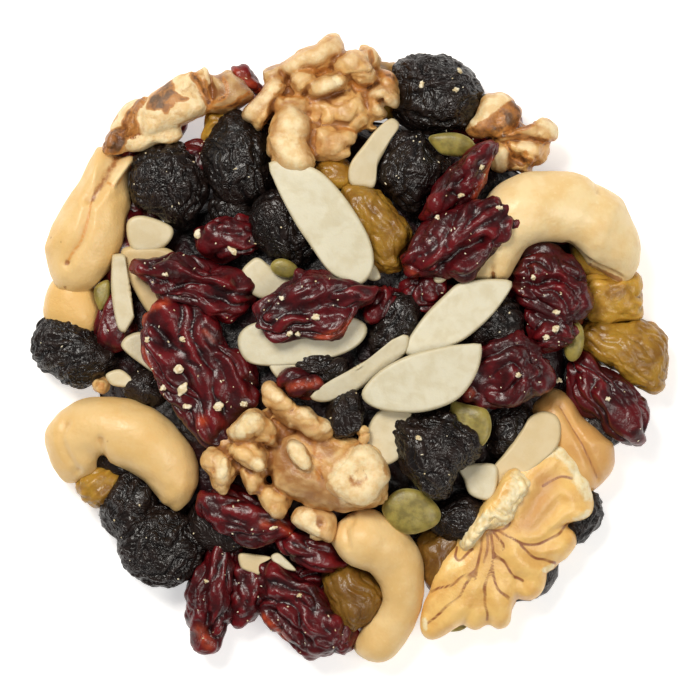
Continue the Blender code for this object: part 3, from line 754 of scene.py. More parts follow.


# Dried cranberries
# Dark red sliced cranberries, collapsed into glossy crumpled shells with long folds, with a red-orange glow
# painted on their thin edges where light would shine through.
# Each row gives the outline, the lowest and highest point, the heading of its folds and how fine its mesh is.
CRANBERRY_OUTLINES = (
    (((-35.5, 12.6), (-33.9, 13.5), (-31.7, 14.1), (-28.5, 15.0), (-25.1, 15.5), (-22.7, 14.6), (-20.2, 13.0),
      (-16.0, 12.5), (-14.4, 10.5), (-14.6, 8.3), (-16.0, 6.1), (-19.0, 4.4), (-21.0, 5.3), (-23.4, 6.3),
      (-25.9, 7.2), (-29.5, 7.8), (-32.0, 9.5), (-33.9, 11.2)), 10.4, 17.2, -8, 5),
    (((-33.6, 2.9), (-32.7, 5.4), (-30.8, 7.1), (-28.8, 7.6), (-25.1, 7.1), (-22.2, 6.3), (-21.2, 5.0),
      (-20.0, 1.7), (-18.0, 0.2), (-16.3, -1.3), (-15.4, -3.2), (-14.4, -5.5), (-14.8, -8.2),
      (-16.8, -10.0), (-18.0, -12.0), (-19.0, -15.6), (-21.4, -16.4), (-23.6, -14.8), (-25.0, -12.4),
      (-28.1, -9.8),
      (-30.5, -7.4), (-31.0, -4.5), (-31.7, -2.0), (-32.9, 0.7)), 11.2, 17.0, -50, 5),
    (((-15.3, 4.6), (-14.3, 7.3), (-12.1, 9.8), (-9.4, 11.7), (-8.0, 13.2), (-4.0, 12.9), (-2.1, 11.5),
      (0.2, 10.7), (3.0, 10.4), (5.3, 9.9), (4.3, 8.5), (2.1, 6.8), (0.4, 4.6), (-1.1, 2.9), (-3.3, 1.6),
      (-6.9, 1.3), (-11.4, 1.5), (-13.8, 2.4)), 16.6, 22.4, 12, 5),
    (((22.9, 33.8), (24.1, 32.9), (22.6, 29.5), (21.3, 27.2), (19.7, 24.2), (16.0, 22.2), (11.3, 21.0),
      (12.0, 22.6), (13.9, 26.0), (16.2, 28.6), (18.2, 30.8), (20.0, 32.4), (21.8, 33.5)), 13.4, 20.0, 52, 5),
    (((8.1, 15.1), (9.7, 17.5), (11.3, 19.2), (13.0, 20.5), (16.2, 22.9), (19.2, 23.9), (22.4, 24.4),
      (24.3, 24.1), (25.7, 22.8), (26.5, 21.4), (26.9, 20.4), (25.9, 19.2), (25.3, 18.2), (24.2, 17.2),
      (23.6, 15.7), (21.1, 13.3), (18.7, 11.8), (16.2, 11.5), (14.2, 12.0), (11.0, 11.2), (9.3, 12.2),
      (8.1, 13.4)), 14.4, 21.0, 35, 5),
    (((25.6, 10.2), (26.3, 12.7), (27.4, 15.2), (29.1, 16.7), (31.6, 16.8), (34.0, 15.6), (36.7, 13.9),
      (38.0, 11.7), (38.7, 8.3), (38.5, 5.9), (36.2, 4.1), (33.0, 4.6), (28.8, 6.0), (27.0, 7.6)),
     7.2, 16.0, -20, 5),
    (((27.9, 6.5), (31.6, 7.0), (34.5, 6.0), (36.2, 3.9), (35.9, 1.5), (33.5, 0.6), (30.1, -0.4),
      (28.4, 2.6)), 9.0, 15.4, -12, 4),
    (((17.0, -4.5), (18.1, -2.2), (20.5, 0.7), (23.3, 3.0), (25.1, 3.9), (27.3, 3.3), (29.3, 1.4),
      (30.7, -1.5), (32.3, -4.7), (30.3, -6.6), (26.7, -8.6), (22.5, -9.5), (19.3, -9.0), (17.1, -7.7)),
     8.8, 18.0, 30, 5),
    (((35.0, -1.3), (36.5, -0.4), (38.4, -0.5), (40.6, -2.3), (43.8, -3.8), (45.8, -6.0), (47.2, -8.4),
      (47.7, -10.6), (47.3, -13.0), (46.3, -15.1), (43.3, -14.9), (40.9, -13.2), (37.9, -11.0),
      (35.7, -8.3),
      (34.9, -4.9)), 2.4, 11.2, -48, 5),
    (((-18.7, -28.9), (-18.0, -31.5), (-17.5, -35.2), (-18.1, -38.9), (-19.0, -42.6), (-20.0, -45.2),
      (-20.9, -47.4), (-22.2, -48.3), (-24.6, -47.4), (-24.9, -45.4), (-26.1, -44.0), (-26.4, -41.6),
      (-25.6, -38.0), (-23.9, -34.0), (-22.9, -31.1), (-21.0, -29.3)), 0.6, 9.0, 76, 5),
    (((-14.7, -34.0), (-12.1, -33.7), (-9.9, -34.6), (-6.9, -36.4), (-4.5, -38.7), (-2.1, -41.2),
      (0.4, -43.6), (1.0, -45.3), (0.6, -48.0), (-1.1, -48.8), (-4.7, -48.8), (-7.4, -48.8), (-10.1, -47.2),
      (-12.8, -45.0), (-14.3, -43.3), (-14.8, -40.9), (-14.6, -38.4), (-14.8, -36.0)), 1.0, 10.4, -44, 5),
    (oval((-17.0, -26.6), 16.4, 8.0, -18), 6.2, 13.4, -14, 4),
    (oval((-6.4, -32.2), 12.0, 5.6, -22), 5.2, 11.6, -20, 4),
    (oval((-19.4, 17.8), 10.6, 7.2, -8), 9.2, 15.8, -8, 4),
    (oval((-7.5, -5.3), 7.0, 3.4, -6), 15.0, 19.8, -5, 4),
    (oval((12.0, 8.8), 8.8, 6.8, 25), 10.4, 17.2, 25, 4),
    (oval((5.2, 6.9), 7.0, 5.6, 50), 12.0, 18.4, 50, 4),
    (oval((-16.4, 43.0), 6.8, 3.6, -42), 4.0, 9.6, -42, 3),
    (oval((-37.4, 4.4), 9.2, 7.2, 80), 3.0, 10.4, 80, 4),
    (oval((-24.8, 31.0), 8.0, 5.0, 10), 4.4, 10.8, 10, 4),
    (oval((-16.6, -38.6), 11.0, 7.2, 80), 0.6, 8.0, 80, 4),
    (oval((-9.6, 40.4), 14.0, 9.0, 30), 0.6, 8.4, 30, 3),
    (oval((20.4, 37.4), 13.0, 8.6, -20), 0.6, 8.2, -20, 3),
    (oval((35.0, 22.0), 15.0, 9.0, -35), 0.6, 8.6, -35, 3),
    (oval((-30.6, 36.4), 12.0, 8.0, 35), 0.6, 8.0, 35, 3),
    (oval((-36.0, 14.4), 13.0, 8.8, 70), 0.6, 8.2, 70, 3),
    (oval((4.0, -43.0), 11.0, 7.0, -70), 0.4, 7.2, -70, 3),
    (oval((-34.4, 20.6), 9.0, 8.0, 60), 0.4, 7.6, 60, 4),
    (oval((-6.8, -37.0), 8.0, 6.4, 30), 0.4, 6.4, 30, 4),
    (oval((-12.6, 34.6), 6.0, 6.0, 0), 0.4, 7.0, 0, 3),
    (oval((-36.4, 31.2), 7.0, 5.0, 30), 0.4, 6.6, 30, 3),
)
CRANBERRY_FOLDS = (
    (((-33.9, 13.2), (-30.0, 13.0), (-25.9, 12.7), (-19.7, 10.4)), 1.6, -0.9),
    (((-32.0, 11.2), (-27.0, 10.2), (-20.0, 8.4)), 2.0, 1.3),
    (((14.6, 13.4), (17.6, 15.6), (21.3, 17.4)), 1.5, 1.6),
    (((26.2, 11.0), (29.6, 10.6), (33.2, 11.2)), 1.3, 1.1),
    (((-13.1, -41.4), (-10.0, -44.2), (-6.5, -47.0)), 1.3, 1.2),
    (((-31.0, 4.6), (-27.4, -1.8), (-24.4, -9.0)), 2.6, 1.1),
    (((-22.4, 4.8), (-19.6, -1.4), (-17.2, -6.0)), 1.8, -0.8),
    (((-12.6, 6.4), (-6.0, 6.6), (0.6, 7.6)), 1.8, 1.0),
    (((13.2, 22.8), (17.4, 28.2), (21.8, 32.6)), 1.1, -0.9),
    (((-22.6, -31.6), (-23.4, -38.0), (-22.6, -45.4)), 1.3, 0.9),
)
# Where a red-orange glow is painted on thin edges, as if light shone through them: each a path, its width and
# its strength.
CRANBERRY_PAINTED_GLOW = (
    (((-33.9, 3.4), (-32.5, 6.4), (-29.2, 7.7)), 1.0, 1.0),
    (((-33.2, 0.4), (-31.7, -3.4), (-31.1, -6.8)), 0.7, 0.7),
    (((-23.5, -11.3),), 1.4, 1.0),
    (((-13.6, -27.8),), 1.3, 1.0),
    (((-11.3, -27.8), (-9.6, -29.3)), 0.9, 0.8),
    (((-23.2, 3.0), (-21.8, 1.6)), 0.7, 0.5),
    (((0.2, 4.6), (-1.4, 2.9), (-5.0, 1.8)), 1.1, 0.8),
    (((22.9, 30.2), (21.2, 26.8), (19.9, 24.4)), 0.9, 0.9),
    (((19.2, -6.9),), 1.3, 0.9),
    (((-9.6, -5.8), (-5.2, -5.2)), 1.2, 0.7),
    (((-22.6, -47.4), (-24.2, -44.8)), 1.5, 0.7),
    (((-14.0, -42.6), (-10.2, -46.4)), 0.9, 0.8),
    (((-18.3, 44.6), (-14.4, 41.4)), 1.4, 0.7),
    (((-35.3, 12.6), (-33.2, 11.6)), 0.9, 0.5),
    (((8.4, 13.4), (10.6, 11.9)), 0.8, 0.5),
)


def ridges(tree, place, size, detail, stretch):
    """Thin winding ridges, the given size in millimetres apart."""
    inputs = {"Vector": place, "Scale": 1.0 / (size * MM), "Detail": detail, "Distortion": stretch}
    return add(tree, "ShaderNodeTexNoise", inputs, noise_type="RIDGED_MULTIFRACTAL").outputs["Fac"]


def cranberry_finish():
    material, tree, place = new_finish("dark_red_cranberry_skin")
    deep = between(tree, lumps(tree, place, 4.0, 4.0), 0.38, 0.66)
    colour = tinted(tree, deep, paint(52, 7, 11), paint(88, 12, 18))
    # Painted highlight: the crests of the folds are lightened to a brighter red.
    crest = crests(tree, 0.03, 0.3)
    colour = tinted(tree, crest, colour, paint(132, 22, 28), 0.45)
    # Painted shade: the bottoms of the folds turn near black.
    hollow = hollows(tree, 0.02, 0.26)
    colour = tinted(tree, hollow, colour, paint(20, 3, 7), 0.85)
    # Painted glow: a patchy red-orange colour on the thin edges, as if light shone through them.
    patchy = between(tree, lumps(tree, place, 1.2, 4.0), 0.3, 0.7)
    uneven = sums(tree, "ADD", sums(tree, "MULTIPLY", patchy, 0.6), 0.35)
    colour = tinted(tree, from_shape(tree, "bright"), colour, paint(192, 76, 40), uneven)
    wrinkle = ridges(tree, place, 1.1, 3.0, 1.2)
    fine = relief(tree, wrinkle, 0.10, relief(tree, lumps(tree, place, 0.4, 3.0), 0.06))
    set_finish(
        tree, colour, 0.3, fine, (0.1, 1.0, (1.0, 0.15, 0.1)),
        Specular_IOR_Level=0.4, Coat_Weight=0.12, Coat_Roughness=0.2,
    )
    return material


def strokes_signed(points, rows):
    """Strokes added up, where one below zero raises a crest."""
    return sum(strength * stroke(points, path, width) for path, width, strength in rows)


def cranberry_part(outline, low, high, heading, level, seed):
    points, faces, way = pillow(outline, low, high, level=level, fullness=2.5)
    bent, folds, small = wrinkles(points, heading, (5.0, 1.7), (7.5, 2.7, 3.0), (2.9, 1.25, 1.4), seed, 0.75)
    push = 0.9 * noise(points, 6.5, seed) + 1.45 * (folds - 0.38) + 0.34 * (small - 0.35)
    push += 0.08 * noise(bent, 1.0, seed + 3) - strokes_signed(points, CRANBERRY_FOLDS) * (way[:, 2] > 0.0)
    points = points + outward(points, faces) * push[:, None]
    return shaded(points, faces, 5, bright=strokes(points, CRANBERRY_PAINTED_GLOW) * (way[:, 2] > -0.3))


lay_rows("dried_cranberries", cranberry_part, CRANBERRY_OUTLINES, 70, cranberry_finish())


# Golden raisins
# Plump amber raisins that let some light through, with soft long wrinkles and a slight gloss.
# Each row gives the outline, the lowest and highest point, the heading of its folds, how fine its mesh is
# and how brown it is.
RAISIN_OUTLINES = (
    (((-1.3, 25.0), (0.9, 26.3), (3.8, 25.9), (6.1, 24.2), (7.6, 22.0), (9.0, 20.6), (10.0, 18.6),
      (9.7, 16.5),
      (8.4, 14.6), (7.8, 12.8), (5.0, 12.6), (1.6, 15.6), (-1.0, 20.0)), 9.6, 18.2, 118, 5, 0.5),
    (((37.6, 11.5), (41.0, 12.6), (45.8, 12.6), (46.8, 10.7), (47.2, 7.3), (46.6, 4.9), (43.3, 4.4),
      (39.7, 4.4), (37.6, 6.6)), 1.4, 9.8, 30, 4, 0.0),
    (((35.8, 3.9), (39.9, 5.1), (43.8, 4.8), (46.5, 5.2), (48.8, 3.9), (50.5, 2.2), (51.0, -0.5),
      (51.2, -3.2), (50.5, -6.0), (49.2, -7.1), (47.0, -6.4), (44.1, -4.9), (41.8, -3.0), (39.2, -1.6),
      (36.4, 0.4)), 0.6, 9.8, -30, 5, 0.35),
    (((-4.6, -37.2), (-3.6, -35.0), (-1.1, -33.9), (1.9, -34.8), (4.1, -36.5), (5.6, -38.9), (5.4, -40.6),
      (3.9, -43.0), (1.9, -44.5), (0.5, -45.6), (-1.4, -44.4), (-3.6, -41.0)), 1.6, 10.4, -60, 5, 0.9),
    (((10.4, -30.1), (13.9, -28.0), (17.8, -27.3), (18.6, -29.1), (17.4, -31.6), (16.8, -35.0), (14.6, -39.4),
      (12.3, -38.0), (11.0, -34.0)), 2.4, 10.8, 75, 4, 1.0),
    (oval((-2.8, 28.0), 7.2, 5.6, 0), 9.8, 16.0, 0, 4, 0.1),
    (oval((-39.8, -21.6), 8.6, 7.0, 20), 1.2, 8.2, 20, 4, 0.3),
    (((-23.9, 34.4), (-23.3, 36.6), (-22.9, 38.0), (-19.5, 38.2), (-17.5, 37.6), (-19.0, 35.6), (-21.6, 34.0),
      (-23.4, 33.6)), 4.6, 10.2, 30, 4, 0.0),
    (oval((7.0, 41.6), 12.0, 8.6, -30), 0.8, 8.8, -30, 3, 0.4),
    (oval((40.0, 16.0), 12.0, 9.0, -60), 0.6, 8.4, -60, 3, 0.1),
    (oval((21.0, -39.0), 12.0, 8.6, 20), 0.4, 7.8, 20, 3, 0.4),
)


def raisin_finish():
    material, tree, place = new_finish("amber_raisin_skin")
    patch = between(tree, lumps(tree, place, 3.6, 4.0), 0.36, 0.66)
    colour = tinted(tree, patch, paint(190, 146, 52), paint(148, 104, 34))
    # Painted highlight: the crests of the wrinkles are lightened to a paler amber.
    crest = crests(tree, 0.02, 0.26)
    colour = tinted(tree, crest, colour, paint(206, 160, 72), 0.7)
    colour = tinted(tree, from_shape(tree, "brownness"), colour, paint(90, 54, 20), 0.8)
    # Painted shade: the bottoms of the folds turn deep brown.
    hollow = hollows(tree, 0.02, 0.26)
    colour = tinted(tree, hollow, colour, paint(82, 46, 12), 0.7)
    fine = relief(tree, lumps(tree, place, 0.9, 3.0, 0.6), 0.12, relief(tree, lumps(tree, place, 0.35), 0.04))
    set_finish(tree, colour, 0.3, fine, (0.35, 1.6, (1.0, 0.55, 0.15)), Specular_IOR_Level=0.42)
    return material


def raisin_part(outline, low, high, heading, level, brownness, seed):
    points, faces, _ = pillow(outline, low, high, level=level, fullness=2.3)
    _, folds, small = wrinkles(points, heading, (4.0, 1.2), (6.5, 2.5, 2.6), (2.4, 1.2, 1.3), seed)
    push = 0.6 * noise(points, 6.0, seed) + 0.55 * (folds - 0.36) + 0.3 * (small - 0.35)
    return shaded(points + outward(points, faces) * push[:, None], faces, 5, brownness=brownness)


lay_rows("golden_raisins", raisin_part, RAISIN_OUTLINES, 110, raisin_finish())


# Sliced almonds
# Thin flat slices of blanched almond, ivory and matt, cut clean with a soft edge and slightly bent.
# Each row gives the outline, the height of its middle, the thickness, its two slopes, its bend along its
# heading and how much tan it shows, partly the slice's own tan and partly painted shade.
ALMOND_OUTLINES = (
    (((-12.9, 29.8), (-9.0, 30.0), (-5.5, 28.8), (-3.4, 27.2), (-1.0, 24.5), (1.2, 21.3), (3.0, 17.9),
      (3.8, 14.9), (3.5, 12.4), (1.9, 10.4), (0.2, 10.6), (-2.1, 11.5), (-4.0, 13.2), (-6.6, 17.0),
      (-8.4, 19.6), (-10.8, 24.0), (-12.3, 27.4)), 19.6, 1.5, (0.02, 0.03), -0.6, 127, 0.0),
    (((3.5, 13.9), (4.9, 11.7), (3.8, 11.0), (2.4, 11.8)), 16.4, 1.2, (0.0, 0.0), 0.0, 0, 0.1),
    (((-17.8, 2.2), (-15.6, 4.2), (-11.0, 4.8), (-5.0, 4.8), (-1.0, 5.4), (0.9, 5.1), (2.5, 4.1), (2.7, 2.7),
      (1.6, 1.0), (-0.8, -0.5), (-4.5, -1.7), (-9.4, -2.5), (-15.3, -2.3), (-17.4, -0.6)),
     17.2, 1.5, (0.02, 0.04), -0.8, 4, 0.0),
    (((-17.3, 12.5), (-15.5, 14.5), (-14.3, 14.6), (-12.6, 13.4), (-9.0, 11.9), (-9.6, 9.4), (-13.7, 8.1),
      (-16.6, 9.8)), 14.8, 1.5, (0.0, 0.06), 0.0, -25, 0.15),
    (((-12.8, -2.2), (-8.5, -2.3), (-9.4, -3.9), (-11.1, -4.9)), 16.6, 1.3, (0.0, 0.1), 0.0, 0, 0.1),
    (((8.5, -0.2), (9.4, 2.0), (12.1, 5.8), (15.4, 9.1), (17.3, 10.6), (20.5, 11.2), (24.2, 11.3),
      (25.9, 10.8), (25.3, 9.2), (23.0, 6.0), (20.5, 3.5), (17.6, 1.3), (14.6, 0.0), (10.2, -1.0)),
     17.8, 1.5, (0.0, -0.08), -0.8, 33, 0.0),
    (((1.8, -7.0), (2.9, -5.1), (5.3, -2.9), (9.7, -0.7), (15.1, 0.6), (19.2, 1.0), (20.9, 0.9),
      (20.6, -2.4), (19.2, -5.4), (17.1, -7.8), (13.9, -9.3), (10.2, -10.0), (5.8, -9.7), (2.8, -8.6)),
     19.8, 1.5, (-0.01, 0.06), -0.7, 23, 0.0),
    (((-6.4, -7.5), (-4.8, -5.8), (-2.1, -4.3), (2.9, -1.4), (6.5, 1.6), (8.5, 2.5), (9.4, 2.0), (8.8, -0.6),
      (5.3, -3.2), (1.9, -6.0), (-2.1, -7.8), (-4.6, -8.3)), 18.6, 1.4, (-0.2, 0.36), -0.4, 34, 0.1),
    (oval((6.3, -13.4), 10.4, 7.2, 66), 16.0, 1.4, (0.1, 0.06), 0.0, 66, 0.25),
    (((6.6, 37.0), (8.0, 35.8), (6.9, 34.2), (5.6, 31.8), (4.4, 29.4), (4.2, 26.9), (3.6, 25.8), (2.1, 26.0),
      (0.2, 26.3), (-0.3, 27.9), (0.2, 30.0), (2.2, 32.7), (4.2, 35.2)), 14.8, 1.4, (-0.3, 0.05), -0.6, 58,
      0.3),
    (((21.6, -23.4), (22.3, -19.5), (24.6, -16.6), (27.5, -12.7), (28.7, -10.7), (30.8, -9.8), (32.9, -10.4),
      (33.7, -12.2), (33.2, -15.3), (30.2, -18.4), (26.4, -21.4), (23.6, -24.0)),
     11.7, 1.5, (0.03, -0.02), -0.4, 49, 0.6),
    (((17.6, -18.6), (22.9, -18.2), (23.6, -20.7), (22.6, -23.9), (19.3, -23.2), (18.2, -20.8)),
     12.4, 1.4, (0.0, 0.0), 0.0, 0, 0.1),
    (((-35.7, 20.3), (-33.2, 21.5), (-28.6, 19.8), (-28.8, 17.4), (-31.5, 15.6), (-34.9, 16.1)),
     9.8, 1.5, (0.0, 0.05), 0.0, 0, 0.35),
    (((-38.1, 14.7), (-37.9, 15.3), (-36.3, 15.4), (-35.9, 14.9), (-34.6, 6.2), (-34.5, 5.2), (-35.9, 2.9),
      (-36.3, 2.8), (-37.3, 3.9), (-38.2, 9.5)),
     10.8, 1.6, (0.3, 0.0), -0.2, 97, 0.2),
    (((-36.7, 15.7), (-34.7, 16.6), (-28.0, 15.5), (-28.4, 7.6), (-31.6, 5.4), (-34.7, 9.8), (-36.1, 12.9)),
     9.4, 2.0, (0.1, 0.0), 0.0, -52, 0.85),
    (((-36.6, 0.5), (-35.9, 2.1), (-33.7, 2.9), (-32.8, 1.9), (-30.8, -3.7), (-33.8, -2.0)),
     9.8, 1.5, (0.0, 0.0), 0.0, 0, 0.2),
    (((-39.0, -3.8), (-36.9, -3.1), (-35.2, -4.2), (-34.2, -5.9), (-37.6, -5.8),
      (-38.7, -5.0)), 9.5, 1.3, (0.0, 0.0), 0.0, 0, 0.3),
    (((-17.8, -32.7), (-15.4, -32.7), (-12.4, -33.3), (-14.0, -34.2), (-14.5, -36.1), (-16.7, -35.4),
      (-17.6, -34.7)), 7.6, 1.2, (0.0, 0.1), 0.0, 0, 0.55),
    (((-12.6, -32.9), (-11.5, -32.5), (-10.1, -33.6), (-8.6, -35.3), (-10.1, -35.2), (-11.3, -34.5),
      (-12.4, -33.8)), 8.6, 1.0, (0.0, 0.0), 0.0, 0, 0.05),
    (oval((14.4, 11.6), 2.4, 1.8, 30), 16.8, 1.2, (0.0, 0.0), 0.0, 0, 0.1),
    (((18.9, 24.3), (19.8, 24.2), (21.6, 28.0), (20.9, 28.2)), 17.4, 1.0, (0.0, 0.0), 0.0, 0, 0.2),
)
ALMOND_CORNERS = 96
ALMOND_ROUNDING = 0.85


def slice_of(outline, height, thickness, tilt):
    """A thin flat slice with a rounded edge and the outline seen from above, and how near its edge is."""
    outline = np.array(outline, float)
    middle = (outline.max(axis=0) + outline.min(axis=0)) / 2
    angle = np.linspace(0.0, math.tau, ALMOND_CORNERS, endpoint=False)
    reach = reach_of(outline, middle, angle)
    half = thickness / 2
    rounding = half * ALMOND_ROUNDING
    rings = [((reach - rounding) * share, half, 0.0) for share in (0.12, 0.35, 0.55, 0.75, 0.9)]
    for step in range(9):
        turn = math.pi / 2 - step * math.pi / 8
        rings.append((reach - rounding * (1.0 - math.cos(turn)), half * math.sin(turn), math.cos(turn)))
    rings += [(out, -lift, edge) for out, lift, edge in rings[4::-1]]
    points = []
    edge = []
    for out, lift, near in rings:
        flat = np.stack((np.cos(angle) * out, np.sin(angle) * out), axis=1)
        rise = height + lift + flat @ np.array(tilt)
        points.append(np.concatenate((flat + middle, rise[:, None]), axis=1))
        edge.append(np.full(ALMOND_CORNERS, near))
    count = len(rings) * ALMOND_CORNERS
    points.append(np.array(((*middle, height + half), (*middle, height - half))))
    edge.append(np.zeros(2))
    faces = []
    for corner in range(ALMOND_CORNERS):
        after = (corner + 1) % ALMOND_CORNERS
        faces.append((count, corner, after))
        faces.append((count + 1, count - ALMOND_CORNERS + after, count - ALMOND_CORNERS + corner))
        for ring in range(len(rings) - 1):
            a = ring * ALMOND_CORNERS + corner
            b = ring * ALMOND_CORNERS + after
            faces.append((a, a + ALMOND_CORNERS, b + ALMOND_CORNERS))
            faces.append((a, b + ALMOND_CORNERS, b))
    return np.concatenate(points), np.array(faces), np.concatenate(edge)


def almond_finish():
    material, tree, place = new_finish("ivory_almond")
    grain = between(tree, lumps(tree, place, 2.4, 5.0, 0.4), 0.36, 0.68)
    colour = tinted(tree, grain, paint(217, 210, 185), paint(207, 197, 167))
    # A tan colour, partly the slice's own tan and partly painted shade on slices that lie in shadow.
    colour = tinted(tree, from_shape(tree, "tan_and_painted_shade"), colour, paint(216, 182, 118), 0.9)
    edge = sums(tree, "MULTIPLY", from_shape(tree, "edge"), 0.55)
    colour = tinted(tree, edge, colour, paint(208, 190, 144))
    fine = relief(tree, lumps(tree, place, 0.3, 3.0), 0.025, relief(tree, lumps(tree, place, 1.8), 0.08))
    set_finish(tree, colour, 0.46, fine, (0.15, 1.0, (1.0, 0.8, 0.5)))
    return material


def almond_part(outline, height, thickness, tilt, bend, heading, tan_and_painted_shade, seed):
    points, faces, edge = slice_of(outline, height, thickness, tilt)
    local = along_heading(points, heading)
    along = local[:, 0] - local[:, 0].mean()
    reach = np.abs(along).max()
    points[:, 2] += bend * (along / reach) ** 2 + 0.22 * noise(points, 6.0, seed)
    return {"points": points, "faces": faces, "edge": edge, "tan_and_painted_shade": tan_and_painted_shade}


lay_rows("almond_slices", almond_part, ALMOND_OUTLINES, 140, almond_finish())


# Pumpkin seeds
# Flat hulled seeds, olive green with a paler rim, smooth and a little waxy.
# Each row gives the outline, the height of its middle, the thickness and its two slopes.
SEED_OUTLINES = (
    (((12.5, 33.7), (13.9, 34.5), (17.1, 34.6), (19.0, 33.8), (20.1, 32.2), (18.3, 31.0), (15.6, 31.0),
      (13.8, 31.8)), 14.4, 2.4, (0.05, 0.1)),
    (((-41.0, 9.8), (-38.7, 11.2), (-38.6, 8.3), (-40.1, 6.3)), 8.4, 2.0, (0.1, 0.0)),
    (((5.1, -25.4), (6.8, -22.9), (9.0, -22.0), (11.4, -22.6), (13.6, -24.4), (14.6, -26.4), (13.6, -28.1),
      (10.2, -29.4), (7.2, -28.6)), 13.0, 3.0, (0.0, 0.08)),
    (((16.2, -8.3), (19.3, -8.8), (21.7, -9.4), (22.5, -11.3), (22.2, -13.7), (20.8, -15.4), (17.8, -14.0),
      (16.2, -11.2)), 15.2, 2.4, (0.1, 0.0)),
    (oval((35.8, 1.3), 6.4, 3.2, 84), 11.2, 2.2, (0.1, 0.0)),
    (oval((17.1, -43.6), 4.6, 3.4, 20), 2.4, 2.0, (0.0, 0.0)),
    (oval((-10.4, 13.0), 4.6, 3.0, -15), 16.4, 2.0, (0.0, 0.0)),
)


def seed_finish():
    material, tree, place = new_finish("olive_green_seed")
    patch = between(tree, lumps(tree, place, 1.8, 4.0), 0.36, 0.66)
    colour = tinted(tree, patch, paint(154, 138, 66), paint(118, 104, 46))
    colour = tinted(tree, from_shape(tree, "edge"), colour, paint(202, 190, 118), 0.7)
    fine = relief(tree, lumps(tree, place, 0.4, 3.0), 0.05)
    set_finish(tree, colour, 0.4, fine, (0.1, 0.8, (1.0, 0.2, 0.1)))
    return material


def seed_part(outline, height, thickness, tilt, seed):
    half = thickness / 2
    points, faces, way = pillow(outline, height - half, height + half, tilt, level=4, fullness=3.0)
    points = points + outward(points, faces) * (0.14 * noise(points, 2.6, seed))[:, None]
    return {"points": points, "faces": faces, "edge": soft_step((np.hypot(way[:, 0], way[:, 1]) - 0.9) / 0.1)}


lay_rows("pumpkin_seeds", seed_part, SEED_OUTLINES, 170, seed_finish())


